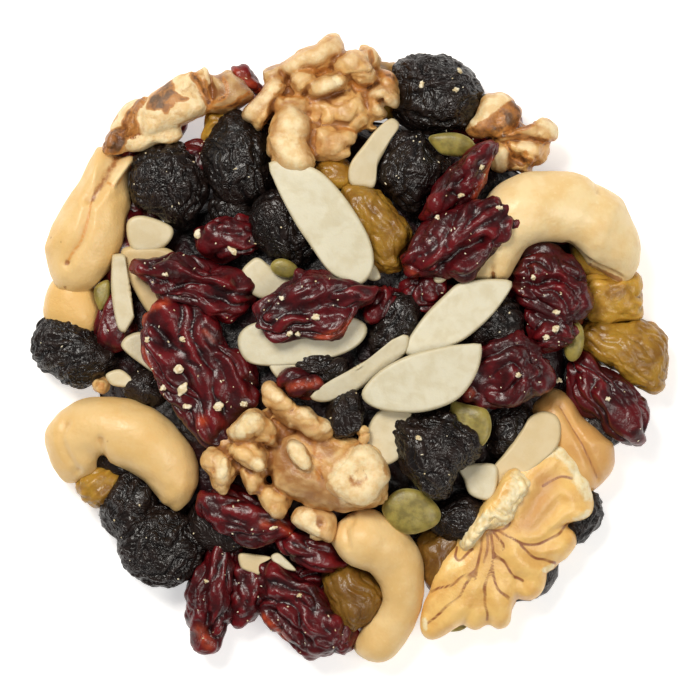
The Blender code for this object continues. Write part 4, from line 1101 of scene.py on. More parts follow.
# Walnut pieces
# Broken walnut kernels: knobbly lobes with deep folds, golden skin with brown veins, and pale cream flesh.
# Each piece is a cluster of rounded lobes melted together. The row of a lobe gives its outline from above,
# its lowest and highest point and its two slopes; the row of a small bit gives its place, size and heading.
BACK_WALNUT = (
    (((-9.6, 39.0), (-8.2, 38.6), (-6.7, 37.1), (-6.1, 35.2), (-6.6, 33.4), (-8.4, 32.6), (-11.0, 33.2),
      (-12.9, 34.4), (-12.2, 36.6), (-11.1, 38.1)), 10.0, 20.4, (0.0, 0.0)),
    (((-12.9, 34.4), (-13.2, 32.5), (-12.8, 30.3), (-11.4, 29.0), (-9.4, 28.2), (-7.4, 28.1), (-5.9, 28.6),
      (-5.5, 30.0), (-6.2, 32.2), (-7.4, 33.6), (-10.0, 34.6)), 12.8, 21.4, (0.0, 0.0)),
    (((-17.2, 38.1), (-16.5, 39.1), (-14.8, 40.8), (-13.3, 42.5), (-12.1, 43.4), (-10.9, 43.4), (-9.9, 42.5),
      (-10.1, 41.5), (-11.6, 40.6), (-12.3, 39.1), (-12.6, 37.6), (-13.3, 35.9), (-14.5, 34.7),
      (-15.5, 35.9),
      (-17.2, 36.9)), 9.0, 17.8, (0.06, 0.0)),
    (((-13.9, 43.7), (-13.6, 44.7), (-11.1, 45.9), (-10.1, 46.4), (-10.8, 44.7), (-9.9, 43.0), (-10.9, 42.8),
      (-12.1, 42.6), (-13.5, 42.4)), 8.0, 15.6, (0.0, 0.0)),
    (((-10.9, 45.0), (-10.1, 46.4), (-8.4, 47.7), (-7.0, 48.4), (-5.0, 48.9), (-4.0, 50.1), (-2.1, 50.2),
      (-1.1, 48.9), (-1.1, 47.4), (-2.3, 46.7), (-3.0, 45.2), (-5.5, 44.2), (-7.0, 44.7), (-8.7, 44.5),
      (-9.4, 43.7), (-10.1, 43.7)), 8.0, 17.4, (0.0, -0.06)),
    (((-2.5, 46.4), (-1.1, 47.4), (0.4, 48.1), (1.6, 47.9), (2.8, 47.2), (3.3, 45.7), (4.1, 44.7),
      (4.1, 43.2),
      (2.8, 42.3), (1.4, 42.0), (0.1, 43.0), (-2.1, 44.0), (-2.8, 45.2)), 8.6, 18.4, (0.0, 0.0)),
    (((1.4, 48.4), (2.3, 48.8), (3.6, 48.1), (4.3, 47.2), (5.0, 46.4), (4.6, 45.2), (3.6, 45.4), (2.6, 46.4),
      (1.6, 47.4)), 7.6, 15.2, (0.0, 0.0)),
    (((4.1, 43.0), (4.8, 44.7), (6.5, 44.7), (7.6, 44.0), (8.1, 42.3), (7.7, 40.8), (6.3, 41.0), (5.0, 41.6)),
     7.0, 14.6, (0.0, 0.0)),
    (((2.4, 40.6), (3.6, 42.0), (5.3, 42.3), (6.8, 41.8), (7.9, 40.3), (7.6, 38.7), (6.5, 38.6), (5.8, 39.8),
      (4.6, 40.2), (3.2, 39.8)), 8.4, 16.6, (0.0, 0.0)),
    (((2.4, 40.0), (3.6, 40.6), (4.8, 40.0), (5.3, 38.8), (6.0, 37.6), (5.5, 36.6), (4.3, 36.6), (2.8, 37.9)),
     8.4, 16.4, (0.0, 0.0)),
    (((-9.6, 43.0), (-8.7, 44.2), (-7.4, 44.7), (-5.7, 44.2), (-5.2, 43.2), (-6.5, 42.0), (-7.7, 40.6),
      (-8.7, 40.6), (-9.4, 41.8)), 9.0, 18.2, (0.0, 0.0)),
    (((-7.0, 42.3), (-5.0, 43.5), (-3.5, 44.2), (-2.1, 44.2), (-0.6, 43.2), (-0.2, 42.0), (-1.6, 41.2),
      (-3.5, 40.4), (-5.5, 40.2), (-7.0, 41.0)), 9.0, 18.6, (0.0, 0.0)),
    (((-12.6, 38.1), (-11.9, 40.1), (-9.6, 40.6), (-7.4, 40.8), (-5.5, 40.2), (-5.5, 38.2), (-7.7, 37.8),
      (-9.6, 38.2), (-11.1, 37.5)), 8.6, 17.4, (0.0, 0.0)),
    (((-7.4, 40.4), (-5.5, 40.4), (-2.1, 40.4), (0.4, 41.2), (2.1, 40.9), (3.0, 39.1), (3.4, 37.1),
      (2.4, 35.7),
      (1.1, 34.7), (-1.0, 35.4), (-4.0, 35.2), (-6.6, 36.2), (-6.8, 38.2)), 8.6, 17.4, (0.0, 0.0)),
    (((-6.5, 35.7), (-4.5, 35.9), (-2.1, 35.9), (-0.1, 35.2), (1.1, 34.2), (0.9, 33.0), (0.1, 32.5),
      (0.4, 31.2),
      (-0.8, 30.3), (-2.3, 30.0), (-4.5, 30.0), (-5.9, 30.2), (-6.4, 32.2)), 9.6, 17.8, (-0.06, 0.0)),
    (((2.8, 36.1), (4.3, 35.9), (4.3, 35.2), (3.6, 34.7), (2.6, 35.2), (2.2, 35.9)), 9.0, 14.4, (0.0, 0.0)),
    (oval((-4.0, 39.6), 18.0, 13.0, 10), 7.0, 15.4, (0.0, 0.0)),
    (oval((-9.6, 33.8), 5.6, 9.0, 0), 9.0, 17.4, (0.0, 0.0)),
)
LEFT_WALNUT = (
    (((-40.1, 32.7), (-39.8, 33.3), (-38.3, 35.3), (-36.4, 35.8), (-36.1, 34.3), (-36.0, 32.2), (-37.2, 31.5),
      (-38.5, 31.2), (-39.6, 31.5)), 5.5, 10.8, (0.0, 0.0)),
    (((-38.3, 35.1), (-37.8, 36.6), (-36.7, 38.4), (-35.6, 39.4), (-33.8, 40.1), (-33.4, 39.9), (-35.1, 38.2),
      (-35.9, 36.6), (-36.2, 35.3)), 5.6, 11.4, (0.1, -0.1)),
    (((-36.4, 33.2), (-36.3, 34.6), (-36.0, 36.3), (-35.1, 38.2), (-33.9, 39.7), (-33.1, 40.8), (-32.3, 40.7),
      (-33.1, 39.4), (-33.8, 37.9), (-33.8, 34.6), (-35.1, 34.0)), 5.6, 12.6, (0.0, 0.0)),
    (((-33.9, 36.3), (-33.8, 38.2), (-33.4, 39.2), (-32.5, 40.2), (-31.8, 41.2), (-30.5, 42.1), (-28.5, 43.3),
      (-27.6, 44.0), (-26.1, 44.3), (-25.1, 44.6), (-24.6, 43.1), (-23.6, 41.0), (-22.8, 39.4),
      (-23.0, 37.9),
      (-24.5, 37.3), (-26.9, 36.0), (-29.2, 35.0), (-31.2, 34.2), (-32.5, 33.9), (-33.6, 34.6)),
     5.8, 13.6, (0.0, -0.06)),
    (((-36.4, 33.3), (-35.1, 34.0), (-33.8, 34.3), (-32.5, 33.9), (-30.2, 34.6), (-27.6, 36.0), (-26.6, 34.6),
      (-26.9, 34.0), (-28.5, 33.0), (-30.8, 33.0), (-32.8, 31.9), (-35.2, 31.9), (-36.0, 32.5)),
     5.4, 12.0, (0.0, 0.0)),
    (((-25.1, 44.6), (-24.3, 45.0), (-23.5, 45.3), (-22.7, 44.9), (-22.5, 43.6), (-22.2, 42.0), (-22.1, 40.8),
      (-22.5, 39.1), (-23.0, 39.4), (-23.8, 41.5), (-24.9, 43.5)), 5.6, 12.6, (0.0, 0.0)),
    (((-22.4, 44.3), (-21.2, 43.9), (-19.6, 44.7), (-18.6, 44.4), (-17.8, 43.5), (-16.1, 42.0), (-15.5, 41.0),
      (-16.5, 39.5), (-18.1, 38.2), (-20.4, 37.5), (-22.7, 38.3), (-22.2, 41.0), (-22.2, 42.8)),
     4.8, 13.0, (0.0, 0.0)),
    (oval((-29.8, 38.4), 14.0, 6.8, 32), 4.6, 11.4, (0.0, 0.0)),
    (oval((-22.0, 41.0), 6.0, 5.4, 0), 4.8, 11.4, (0.0, 0.0)),
)
RIGHT_WALNUT = (
    (((21.4, 40.8), (23.5, 41.2), (25.2, 40.9), (26.6, 39.9), (27.7, 38.8), (27.4, 37.6), (26.8, 36.1),
      (26.4, 35.3), (24.9, 34.2), (22.7, 33.9), (21.0, 33.5), (19.3, 33.9), (18.6, 35.7), (20.0, 37.6),
      (20.3, 39.1)), 4.6, 12.2, (0.0, 0.0)),
    (((23.2, 33.9), (25.4, 34.8), (27.6, 35.7), (28.8, 36.1), (29.6, 36.9), (31.1, 37.3), (32.5, 36.6),
      (33.6, 35.2), (33.4, 33.8), (32.5, 33.0), (31.3, 33.2), (29.1, 33.6), (26.6, 33.6), (24.2, 33.3)),
     4.6, 12.4, (0.0, 0.0)),
    (((24.7, 33.2), (26.6, 33.5), (29.1, 33.5), (31.1, 33.0), (31.3, 31.7), (30.3, 30.4), (29.1, 29.5),
      (28.1, 29.8), (27.1, 30.8), (25.9, 31.2), (25.2, 32.2)), 4.0, 11.2, (0.0, 0.0)),
    (((24.2, 33.0), (25.4, 32.5), (25.9, 30.8), (25.2, 28.8), (23.7, 28.4), (22.6, 28.9), (23.0, 30.8),
      (23.7, 32.0)), 3.6, 10.8, (0.0, 0.0)),
    (((25.9, 30.8), (27.1, 30.0), (29.1, 29.3), (28.8, 28.2), (26.6, 28.4), (25.5, 28.2), (25.2, 29.3)),
     2.8, 9.4, (0.0, 0.0)),
    (oval((27.0, 33.4), 11.0, 6.4, -25), 3.0, 9.8, (0.0, 0.0)),
)
MIDDLE_WALNUT = (
    ((
        (-13.2, -17.8), (-12.4, -20.9), (-10.1, -23.2), (-8.1, -24.1), (-5.6, -25.4), (-2.7, -25.8),
        (0.0, -25.8), (5.6, -23.9), (5.5, -17.0), (1.5, -14.0), (-3.0, -13.6), (-8.0, -12.8),
        (-12.6, -14.3),
    ), 9.0, 18.9, (0.0, 0.03)),
    ((
        (-14.0, -5.0), (-12.0, -5.3), (-9.6, -7.2), (-8.3, -8.9), (-6.6, -9.2), (-5.6, -10.7),
        (-3.2, -10.9), (-2.2, -12.4), (-3.0, -13.6), (-5.2, -14.6), (-6.9, -14.1), (-8.6, -12.9),
        (-10.3, -12.1), (-11.5, -10.9), (-13.7, -8.7), (-14.2, -7.0),
    ), 13.4, 20.6, (-0.05, -0.03)),
    ((
        (-19.9, -12.9), (-18.6, -11.4), (-16.7, -9.7), (-15.2, -9.3), (-13.5, -10.2), (-12.0, -11.6),
        (-11.5, -13.4), (-12.0, -14.8), (-13.5, -14.8), (-15.2, -14.3), (-17.4, -14.6), (-19.1, -14.3),
    ), 12.6, 21.4, (0.05, 0.0)),
    ((
        (-19.6, -15.6), (-17.4, -14.3), (-15.4, -14.4), (-13.5, -15.8), (-12.8, -17.5), (-14.0, -19.0),
        (-15.2, -19.2), (-16.6, -18.4), (-18.6, -17.4),
    ), 11.6, 20.4, (0.05, 0.0)),
    ((
        (-22.8, -15.6), (-21.1, -15.6), (-19.4, -16.0), (-18.2, -17.8), (-18.1, -19.5), (-18.9, -20.9),
        (-19.4, -22.5), (-20.3, -22.9), (-21.8, -22.2), (-22.5, -20.5), (-23.8, -18.7), (-23.9, -17.4),
    ), 9.6, 18.4, (0.04, 0.0)),
    ((
        (-18.0, -18.0), (-16.4, -18.4), (-13.4, -19.4), (-14.2, -21.9), (-15.9, -23.3), (-16.9, -22.4),
        (-17.6, -20.7),
    ), 9.6, 17.2, (0.0, 0.0)),
    ((
        (-13.9, -21.2), (-11.5, -22.2), (-9.6, -23.4), (-9.8, -25.6), (-11.0, -27.1), (-12.5, -26.6),
        (-14.0, -24.9), (-14.9, -23.2),
    ), 8.6, 16.6, (0.0, 0.05)),
    (oval((-18.0, -15.4), 9.0, 9.0, 0), 8.0, 15.6, (0.0, 0.0)),
    (oval((-12.6, -12.6), 7.0, 7.0, 0), 8.0, 16.6, (0.0, 0.0)),
)
BROKEN_FACES = (
    ((
        (-4.4, -21.7), (-3.5, -19.8), (-2.1, -18.1), (-0.6, -16.6), (1.1, -15.1), (2.8, -14.9),
        (4.3, -16.1), (5.8, -18.1), (6.4, -20.3), (5.3, -22.0), (4.3, -23.7), (2.4, -24.9), (0.4, -24.8),
        (-1.6, -23.8), (-3.3, -23.0),
    ), 13.0, 20.0, ((1.3, -19.4), 3.6, 0.7)),
    ((
        (-9.4, -27.4), (-8.7, -25.2), (-6.5, -24.9), (-3.5, -25.4), (-2.1, -27.1), (-2.8, -30.6),
        (-4.5, -30.3), (-7.0, -29.1),
    ), 8.0, 16.2, ((-4.9, -27.6), 1.6, 0.5)),
    (oval((-8.0, -16.8), 5.9, 3.2, -57), 15.0, 21.0, ((-8.2, -16.4), 1.6, 0.25)),
    (oval((-16.2, -12.0), 5.6, 3.6, 42), 14.0, 21.7, ((-15.4, -11.4), 1.2, 0.3)),
    (oval((-14.6, -18.3), 2.6, 2.4, 0), 14.0, 20.5, ((-14.6, -18.3), 0.9, 0.15)),
    (oval((-20.3, -19.0), 4.6, 2.3, 80), 12.0, 18.9, ((-20.3, -19.0), 1.2, 0.25)),
    (oval((-2.3, 42.6), 3.8, 2.8, 15), 12.0, 18.9, ((-2.3, 42.5), 1.6, 0.2)),
)
SMALL_WALNUT_BITS = (
    ((-39.8, -5.6, 6.0), (3.8, 4.2, 3.6), 0), ((2.0, -13.4, 17.6), (2.8, 3.2, 2.8), 0),
    ((-4.6, -29.4, 12.6), (3.4, 2.6, 3.0), 10),
)
WALNUT_GRID = 0.34
WALNUT_TAN = (
    (((-20.6, 41.6), (-17.4, 40.6)), 6.0, 1.3), (((-20.8, 39.6),), 4.0, 1.0),
    (((-11.0, -16.0), (-9.0, -20.6), (-5.0, -23.4), (0.4, -25.6)), 5.2, 0.72),
    (((-11.4, -10.0), (-5.4, -14.6), (-3.0, -16.4)), 2.2, 0.6), (((26.2, 34.7), (29.6, 35.2)), 1.8, 0.6),
    (((6.4, 43.4),), 2.4, 0.6), (((-12.4, 44.4),), 2.8, 0.8),
    (((-10.6, 39.4), (-6.6, 40.0), (-2.0, 40.6)), 1.6, 0.4),
)
WALNUT_CREAM = (
    (((-9.0, 36.6), (-9.8, 33.0), (-9.2, 30.4)), 4.6, 1.0), (((-2.3, 42.6), (-5.0, 41.6)), 2.2, 0.9),
    (((-8.6, 43.4), (-7.0, 44.0)), 1.9, 0.8),
    (((-16.2, 37.4), (-12.0, 42.2)), 2.4, 0.8), (((-9.6, 45.2), (-2.0, 48.4)), 2.6, 0.75),
    (((3.4, 46.6),), 2.6, 0.8), (((6.8, 39.4), (4.6, 38.2)), 2.2, 0.8), (((4.4, 41.2),), 2.8, 0.7),
    (((0.2, 46.0),), 2.6, 0.75), (((-0.6, 37.6),), 2.6, 0.45), (((-2.5, 32.2),), 3.4, 0.45),
    (((-37.6, 35.6), (-36.2, 38.2), (-34.2, 39.8)), 1.6, 0.9),
    (((-23.3, 45.1), (-23.0, 44.0), (-22.5, 42.6)), 0.7, 0.8),
    (((24.4, 40.2), (21.8, 38.4), (20.6, 36.4)), 2.6, 0.9), (((31.1, 36.4), (33.0, 34.8)), 1.9, 0.9),
    (((29.4, 32.0), (27.8, 33.0)), 1.8, 0.9), (((24.2, 31.7), (24.2, 29.3)), 1.9, 0.95),
    (((30.4, 34.8),), 1.2, 0.7),
    (((-17.6, -13.0), (-15.2, -11.2)), 3.0, 0.9), (((-14.5, -18.4),), 2.2, 0.95),
    (((-8.9, -15.4), (-7.2, -18.2)), 2.4, 0.95),
    (((-13.2, -6.2), (-11.6, -7.2)), 2.4, 0.75), (((-7.6, -10.0), (-6.2, -10.2)), 2.0, 0.7),
    (((-4.0, -12.4), (-3.2, -11.6)), 1.9, 0.7), (((-9.4, -12.0),), 1.2, 0.6), (((-12.0, -26.0),), 2.4, 0.5),
    (((-7.9, -27.6), (-6.9, -26.8), (-6.4, -28.6)), 2.8, 0.9), (((-20.6, -17.6), (-20.1, -20.4)), 2.0, 0.95),
    (((1.1, -16.9), (-2.0, -20.4), (-0.4, -23.2), (2.6, -23.2), (4.6, -20.6), (3.2, -16.8),
      (1.1, -16.9)), 3.0, 1.0),
    (((1.3, -19.6),), 4.4, 0.66),
)
WALNUT_BROWN = (
    (((-24.9, 44.0), (-23.8, 42.6), (-23.1, 40.8)), 1.5, 0.8), (((-23.4, 41.6), (-22.6, 39.4)), 1.3, 1.0),
    (((-36.2, 34.6), (-35.9, 36.6), (-35.1, 38.2), (-33.4, 40.4)), 0.7, 1.0),
    (((-20.4, 43.4), (-19.6, 42.5), (-19.5, 41.3), (-20.5, 40.2), (-21.8, 39.5)), 0.8, 0.75),
    (((-22.6, 38.7), (-20.4, 38.7), (-17.9, 39.5), (-16.1, 41.2)), 0.8, 0.9),
    (((23.2, 33.9), (26.6, 34.3), (29.6, 33.6), (32.0, 33.3), (32.8, 32.8)), 0.8, 1.0),
    (((25.2, 33.0), (26.2, 31.0), (27.6, 30.4), (29.1, 30.3)), 0.8, 0.9),
    (((24.2, 34.6), (27.4, 35.4), (29.4, 36.2)), 0.8, 0.8), (((28.0, 31.4),), 1.2, 0.7),
    (((-8.0, 44.5), (-5.6, 44.4), (-3.2, 44.6)), 1.0, 0.7),
    (((-10.9, 42.3),), 1.1, 0.6), (((3.3, 47.4), (3.5, 45.6)), 0.8, 0.8),
    (((0.2, 42.6), (1.4, 41.6), (3.2, 42.3)), 1.1, 0.85),
    (((4.8, 44.0), (7.2, 43.2)), 1.7, 0.75),
    (((-12.0, 40.5), (-9.4, 40.4), (-7.6, 40.2), (-6.0, 39.2)), 0.8, 0.65),
    (((-6.2, 36.4), (-6.0, 33.6), (-6.0, 31.6)), 0.8, 0.6),
    (((-1.6, 35.6), (1.0, 34.6), (2.2, 35.4)), 0.8, 0.65),
    (((-17.8, -14.5), (-13.6, -14.9), (-11.6, -13.4), (-11.2, -10.8)), 0.7, 0.5),
    (((-10.8, -23.0), (-8.1, -24.2), (-5.6, -25.2), (-2.7, -25.7)), 0.6, 0.6),
    (((-6.0, -15.0), (-4.6, -18.0), (-5.0, -20.6)), 1.3, 0.5), (((-39.8, -5.6),), 2.4, 0.5),
)
CREAM_PATCHES = ((LEFT_WALNUT[3][0], 0.66), (LEFT_WALNUT[4][0], 0.72))
BROWN_PATCHES = (
    (LEFT_WALNUT[0][0], 1.0),
    (LEFT_WALNUT[2][0], 0.78),
    (((-32.5, 38.5), (-32.4, 39.9), (-31.5, 41.0), (-30.3, 42.1), (-28.5, 43.3), (-28.0, 41.7), (-28.5, 39.9),
      (-28.7, 37.9), (-29.8, 37.6), (-30.3, 38.2)), 0.92),
    (((-28.9, 38.6), (-28.9, 41.8), (-28.0, 41.7), (-26.9, 40.7), (-25.3, 40.2), (-27.4, 39.4)), 0.72),
    (((24.9, 39.3), (26.6, 39.8), (27.6, 38.4), (27.4, 37.1), (26.4, 35.4), (24.2, 34.7), (21.7, 33.5),
      (18.8, 34.2), (18.6, 35.2), (21.5, 36.9), (23.0, 37.9)), 0.9),
)


def lobe(at, size, heading):
    way, faces = ball(3)
    local = way * np.array(size) / 2
    return np.stack((*turned(local[:, 0], local[:, 1], heading), local[:, 2]), axis=1) + np.array(at), faces


def melted(lobes, grid):
    """One closed skin round all the lobes, with soft creases where they meet."""
    points = []
    joined = []
    first = 0
    for row in lobes:
        body = lobe(*row) if len(row) == 3 else pillow(*row, level=4, fullness=2.5)
        points.append(body[0])
        joined.append(body[1] + first)
        first += len(body[0])
    mesh = bpy.data.meshes.new("walnut_lobes")
    mesh.from_pydata(np.concatenate(points), [], np.concatenate(joined))
    lobes_object = bpy.data.objects.new("walnut_lobes", mesh)
    bpy.context.collection.objects.link(lobes_object)
    skin = lobes_object.modifiers.new("skin", "REMESH")
    skin.mode = "VOXEL"
    skin.voxel_size = grid
    soft = lobes_object.modifiers.new("soft", "SMOOTH")
    soft.factor = 0.5
    soft.iterations = 4
    graph = bpy.context.evaluated_depsgraph_get()
    skinned = bpy.data.meshes.new_from_object(lobes_object.evaluated_get(graph))
    bpy.data.objects.remove(lobes_object, do_unlink=True)
    bm = bmesh.new()
    bm.from_mesh(skinned)
    bmesh.ops.triangulate(bm, faces=bm.faces)
    points, faces = read_off(bm)
    for used in (mesh, skinned):
        bpy.data.meshes.remove(used)
    return points, faces


def creases(points, size, seed, width):
    """1 along the bottom of winding creases, falling to 0 beside them."""
    return np.exp(-(noise(points, size, seed) / width) ** 2)


def walnut_finish():
    material, tree, place = new_finish("walnut_skin_and_flesh")
    patch = between(tree, lumps(tree, place, 3.2, 5.0, 0.5), 0.36, 0.64)
    colour = tinted(tree, patch, paint(222, 174, 106), paint(196, 142, 80))
    colour = tinted(tree, from_shape(tree, "tan_skin"), colour, paint(142, 92, 50))
    vein = ridges(tree, place, 3.4, 3.0, 1.5)
    colour = tinted(tree, between(tree, vein, 0.9, 1.2), colour, paint(140, 84, 40), 0.6)
    # Painted highlight: the crests of the lobes are lightened to a pale cream.
    crest = crests(tree, 0.02, 0.2)
    colour = tinted(tree, crest, colour, paint(240, 208, 148), 0.45)
    # Painted shade: places deep in the folds and creases turn brown.
    hollow = hollows(tree, 0.03, 0.22)
    colour = tinted(tree, hollow, colour, paint(132, 76, 34), 0.8)
    ragged = sums(tree, "MULTIPLY", sums(tree, "SUBTRACT", lumps(tree, place, 2.0, 6.0, 0.4, 0.62), 0.5), 1.3)
    cream = sums(tree, "ADD", from_shape(tree, "cream"), ragged)
    colour = tinted(tree, between(tree, cream, 0.1, 0.36), colour, paint(170, 112, 58), 0.28)
    reached = {"Value": cream, "From Min": 0.34, "From Max": from_shape(tree, "blur")}
    flesh = add(tree, "ShaderNodeMapRange", reached).outputs["Result"]
    grain = between(tree, lumps(tree, place, 1.3, 5.0), 0.36, 0.66)
    pale = tinted(tree, grain, paint(242, 220, 174), paint(230, 196, 140))
    colour = tinted(tree, flesh, colour, pale)
    brown = from_shape(tree, "brown")
    skin = between(tree, sums(tree, "ADD", brown, ragged), 0.3, 0.6)
    patchy = between(tree, lumps(tree, place, 2.2, 5.0), 0.42, 0.6)
    depth = between(tree, sums(tree, "ADD", brown, sums(tree, "MULTIPLY", ragged, 1.2)), 0.62, 1.0)
    umber = tinted(tree, patchy, paint(84, 48, 26), paint(150, 94, 48))
    colour = tinted(tree, skin, colour, tinted(tree, depth, paint(188, 124, 58), umber), 0.92)
    fine = relief(tree, lumps(tree, place, 0.9, 4.0, 0.8), 0.14, relief(tree, lumps(tree, place, 0.35), 0.06))
    set_finish(tree, colour, ranged(tree, flesh, 0.36, 0.52), fine, (0.12, 1.2, (1.0, 0.6, 0.3)))
    return material


def patches(points, rows):
    """For every point the strength of the outline that it lies in, with a soft edge, and 0 outside them."""
    most = np.zeros(len(points))
    for outline, strength in rows:
        outline = np.array(outline)
        middle = (outline.max(axis=0) + outline.min(axis=0)) / 2
        way = points[:, :2] - middle
        reach = reach_of(outline, middle, np.arctan2(way[:, 1], way[:, 0]))
        inside = np.clip(0.5 + (reach - np.hypot(way[:, 0], way[:, 1])) / 0.8, 0.0, 1.0)
        most = np.maximum(most, strength * inside)
    return most


def walnut_shades(points, faces, away, blur):
    upper = soft_step(away[:, 2] * 2.0 + 0.8)
    wavy = points + 0.4 * drift(points, 1.9, 180)
    return shaded(
        points, faces, 9, blur=blur,
        cream=np.maximum(strokes(wavy, WALNUT_CREAM), patches(wavy, CREAM_PATCHES)) * upper,
        brown=np.maximum(strokes(wavy, WALNUT_BROWN), patches(wavy, BROWN_PATCHES)) * upper,
        tan_skin=np.minimum(strokes(wavy, WALNUT_TAN), 1.0),
    )


def walnut_part(lobes, blur, seed):
    """Uneven lobes with soft folds and thin winding creases, smoother where the pale flesh shows."""
    points, faces = melted(lobes, WALNUT_GRID)
    away = outward(points, faces)
    bend = drift(points, 4.0, seed + 0.3)
    points = points + 0.45 * bend
    cream = np.maximum(strokes(points, WALNUT_CREAM), patches(points, CREAM_PATCHES))
    calm = 1.0 - 0.85 * np.clip(soft_step(cream * 2.0) + strokes(points, WALNUT_TAN), 0.0, 1.0)
    folds = np.abs(noise(points + 1.1 * bend, 4.2, seed + 1)) ** 0.65
    deep = creases(points + 1.2 * bend, 6.0, seed + 2, 0.12)
    thin = creases(points + 0.8 * bend, 2.6, seed + 3, 0.22)
    push = (0.5 * (folds - 0.42) - 0.3 * deep - 0.14 * thin) * calm
    push += (0.05 + 0.07 * calm) * noise(points, 1.6, seed + 4)
    push += 0.14 * soft_step((cream - 0.3) / 0.25)
    return walnut_shades(points + away * push[:, None], faces, away, blur)


def broken_face_part(outline, low, high, dish, seed):
    """A smooth pale face where a lobe has broken off, with a shallow dish in it."""
    points, faces, way = pillow(outline, low, high, fullness=2.9, level=4)
    away = outward(points, faces)
    at, width, depth = dish
    push = 0.22 * noise(points, 3.0, seed) + 0.08 * noise(points, 1.2, seed + 1)
    push -= depth * stroke(points, (at,), width) * (way[:, 2] > 0)
    return walnut_shades(points + away * push[:, None], faces, away, 0.6)


def lay_walnuts():
    """The clusters, each with how softly its cream flesh ends, and the broken faces on them."""
    clusters = (
        (BACK_WALNUT, 0.95), (LEFT_WALNUT, 0.62), (RIGHT_WALNUT, 0.7), (MIDDLE_WALNUT, 0.8),
        (SMALL_WALNUT_BITS, 0.7),
    )
    parts = [walnut_part(lobes, blur, 190 + 7 * number) for number, (lobes, blur) in enumerate(clusters)]
    parts += [broken_face_part(*face, 260 + 5 * number) for number, face in enumerate(BROKEN_FACES)]
    make_piece("walnut_pieces", parts, walnut_finish())


lay_walnuts()


# The walnut fan and the smooth lobe
# A quarter of a walnut kernel lies spread like a fan: ribs run out from its hub to a scalloped edge, under
# glossy golden skin with red-brown veins, and its broken upper edge is cream and rough. A smooth tan lobe of
# another kernel shows behind it.
FAN_OUTLINE = (
    (29.1, -17.1), (30.8, -15.8), (32.5, -15.3), (34.2, -15.8), (36.2, -17.8), (37.4, -20.3), (38.2, -22.7),
    (38.8, -24.9), (38.1, -26.6), (36.2, -27.2), (34.9, -27.8), (36.0, -29.6), (36.0, -31.2), (34.4, -33.2),
    (33.0, -34.9), (31.4, -35.6), (31.2, -37.4), (29.4, -39.8), (26.8, -39.9), (26.2, -41.4), (25.8, -43.8),
    (24.0, -44.7), (22.2, -44.1), (20.3, -44.8), (18.6, -44.0), (17.8, -43.2), (16.6, -44.6), (13.4, -46.3),
    (11.5, -45.4), (11.1, -43.5), (12.6, -38.9), (15.0, -33.8), (16.4, -31.4), (17.4, -29.6), (19.4, -27.2),
    (21.6, -24.0), (23.8, -21.5), (24.9, -19.6), (26.6, -18.6),
)
FAN_HUB = (25.6, -29.6)
FAN_VEINS_AND_PAINTED_SHADOW = (
    ((21.8, -28.6), (21.0, -30.0), (20.7, -32.5), (20.0, -35.2), (19.9, -36.9)),
    ((20.0, -35.2), (18.5, -37.4), (17.3, -39.6), (15.3, -41.1), (13.9, -42.5), (11.9, -44.0)),
    ((19.8, -35.4), (18.0, -36.4), (16.1, -37.6), (12.9, -38.6)),
    ((22.5, -28.8), (22.7, -31.3), (22.9, -33.2), (22.8, -34.7), (22.0, -36.9), (21.6, -38.6), (22.1, -43.5)),
    ((22.9, -33.8), (23.2, -36.7), (23.9, -38.4), (25.6, -39.8)),
    ((23.7, -28.8), (25.6, -30.0), (27.6, -30.8), (29.6, -31.1), (31.5, -30.5), (33.5, -29.3), (34.8, -27.6)),
    ((23.0, -32.6), (25.1, -34.5), (26.1, -36.2), (27.6, -37.1)),
    ((27.1, -30.6), (28.8, -32.7), (31.3, -33.7), (32.8, -34.2)),
    ((30.9, -21.6), (33.5, -20.2), (35.4, -20.5)),
    ((16.6, -31.5), (16.7, -33.0), (17.6, -33.6), (18.5, -32.7), (19.5, -31.8)),
    # Not a vein: a painted shadow line along the lower edge of the arm, also pressed in as a groove.
    ((21.4, -28.6), (23.0, -28.9), (24.6, -28.4), (25.6, -27.6)),
    ((23.0, -29.2), (24.2, -31.0), (24.6, -32.0)), ((22.0, -29.4), (21.8, -32.4), (21.2, -34.2)),
)
FAN_GROOVES = (
    ((27.6, -28.1), (29.1, -26.1), (30.0, -23.9), (32.0, -21.7)),
    ((25.0, -29.0), (28.4, -28.6), (31.4, -27.0), (33.4, -24.6)),
    ((17.2, -36.6), (14.4, -40.4), (12.4, -42.4)),
    ((24.8, -36.6), (25.6, -39.0), (26.2, -41.4)),
)
FAN_CREAM = (
    (((30.9, -16.4), (32.7, -15.7), (34.4, -16.8), (36.2, -19.2), (37.2, -21.2), (37.8, -23.0)), 2.4, 0.9),
    (((37.6, -25.8), (36.0, -26.8)), 1.0, 0.7), (((32.4, -34.6), (30.8, -35.2)), 0.9, 0.7),
    (((12.0, -44.6), (11.8, -43.2)), 0.9, 0.7),
)
FAN_TAN = (
    (((28.6, -27.6), (30.2, -24.6), (31.4, -21.0)), 3.4, 0.65), (((24.0, -29.6), (22.0, -32.0)), 3.0, 0.4),
)
FAN_ARM_OUTLINE = (
    (17.8, -31.5), (18.6, -28.6), (20.2, -26.1), (22.7, -22.7), (24.6, -19.8), (26.6, -19.1), (28.8, -21.0),
    (28.2, -23.0), (27.1, -24.9), (25.6, -27.6), (23.6, -28.4), (21.7, -28.6), (21.0, -29.8), (18.8, -32.0),
)
ARM_CREAM = ((((18.6, -31.0), (21.4, -28.0), (24.6, -26.2), (26.8, -23.4), (27.4, -20.6)), 3.2, 1.0),)
SMOOTH_LOBE = (
    (28.6, -9.6), (30.6, -7.2), (32.7, -6.2), (35.3, -7.8), (37.4, -10.5), (40.5, -13.7), (42.3, -15.1),
    (42.5, -17.3), (42.0, -19.5), (40.1, -22.0), (37.6, -23.0), (33.0, -20.0), (29.6, -15.0),
)
LOBE_GROOVE = ((33.5, -8.9), (36.0, -13.0), (37.9, -16.7), (39.9, -20.8))


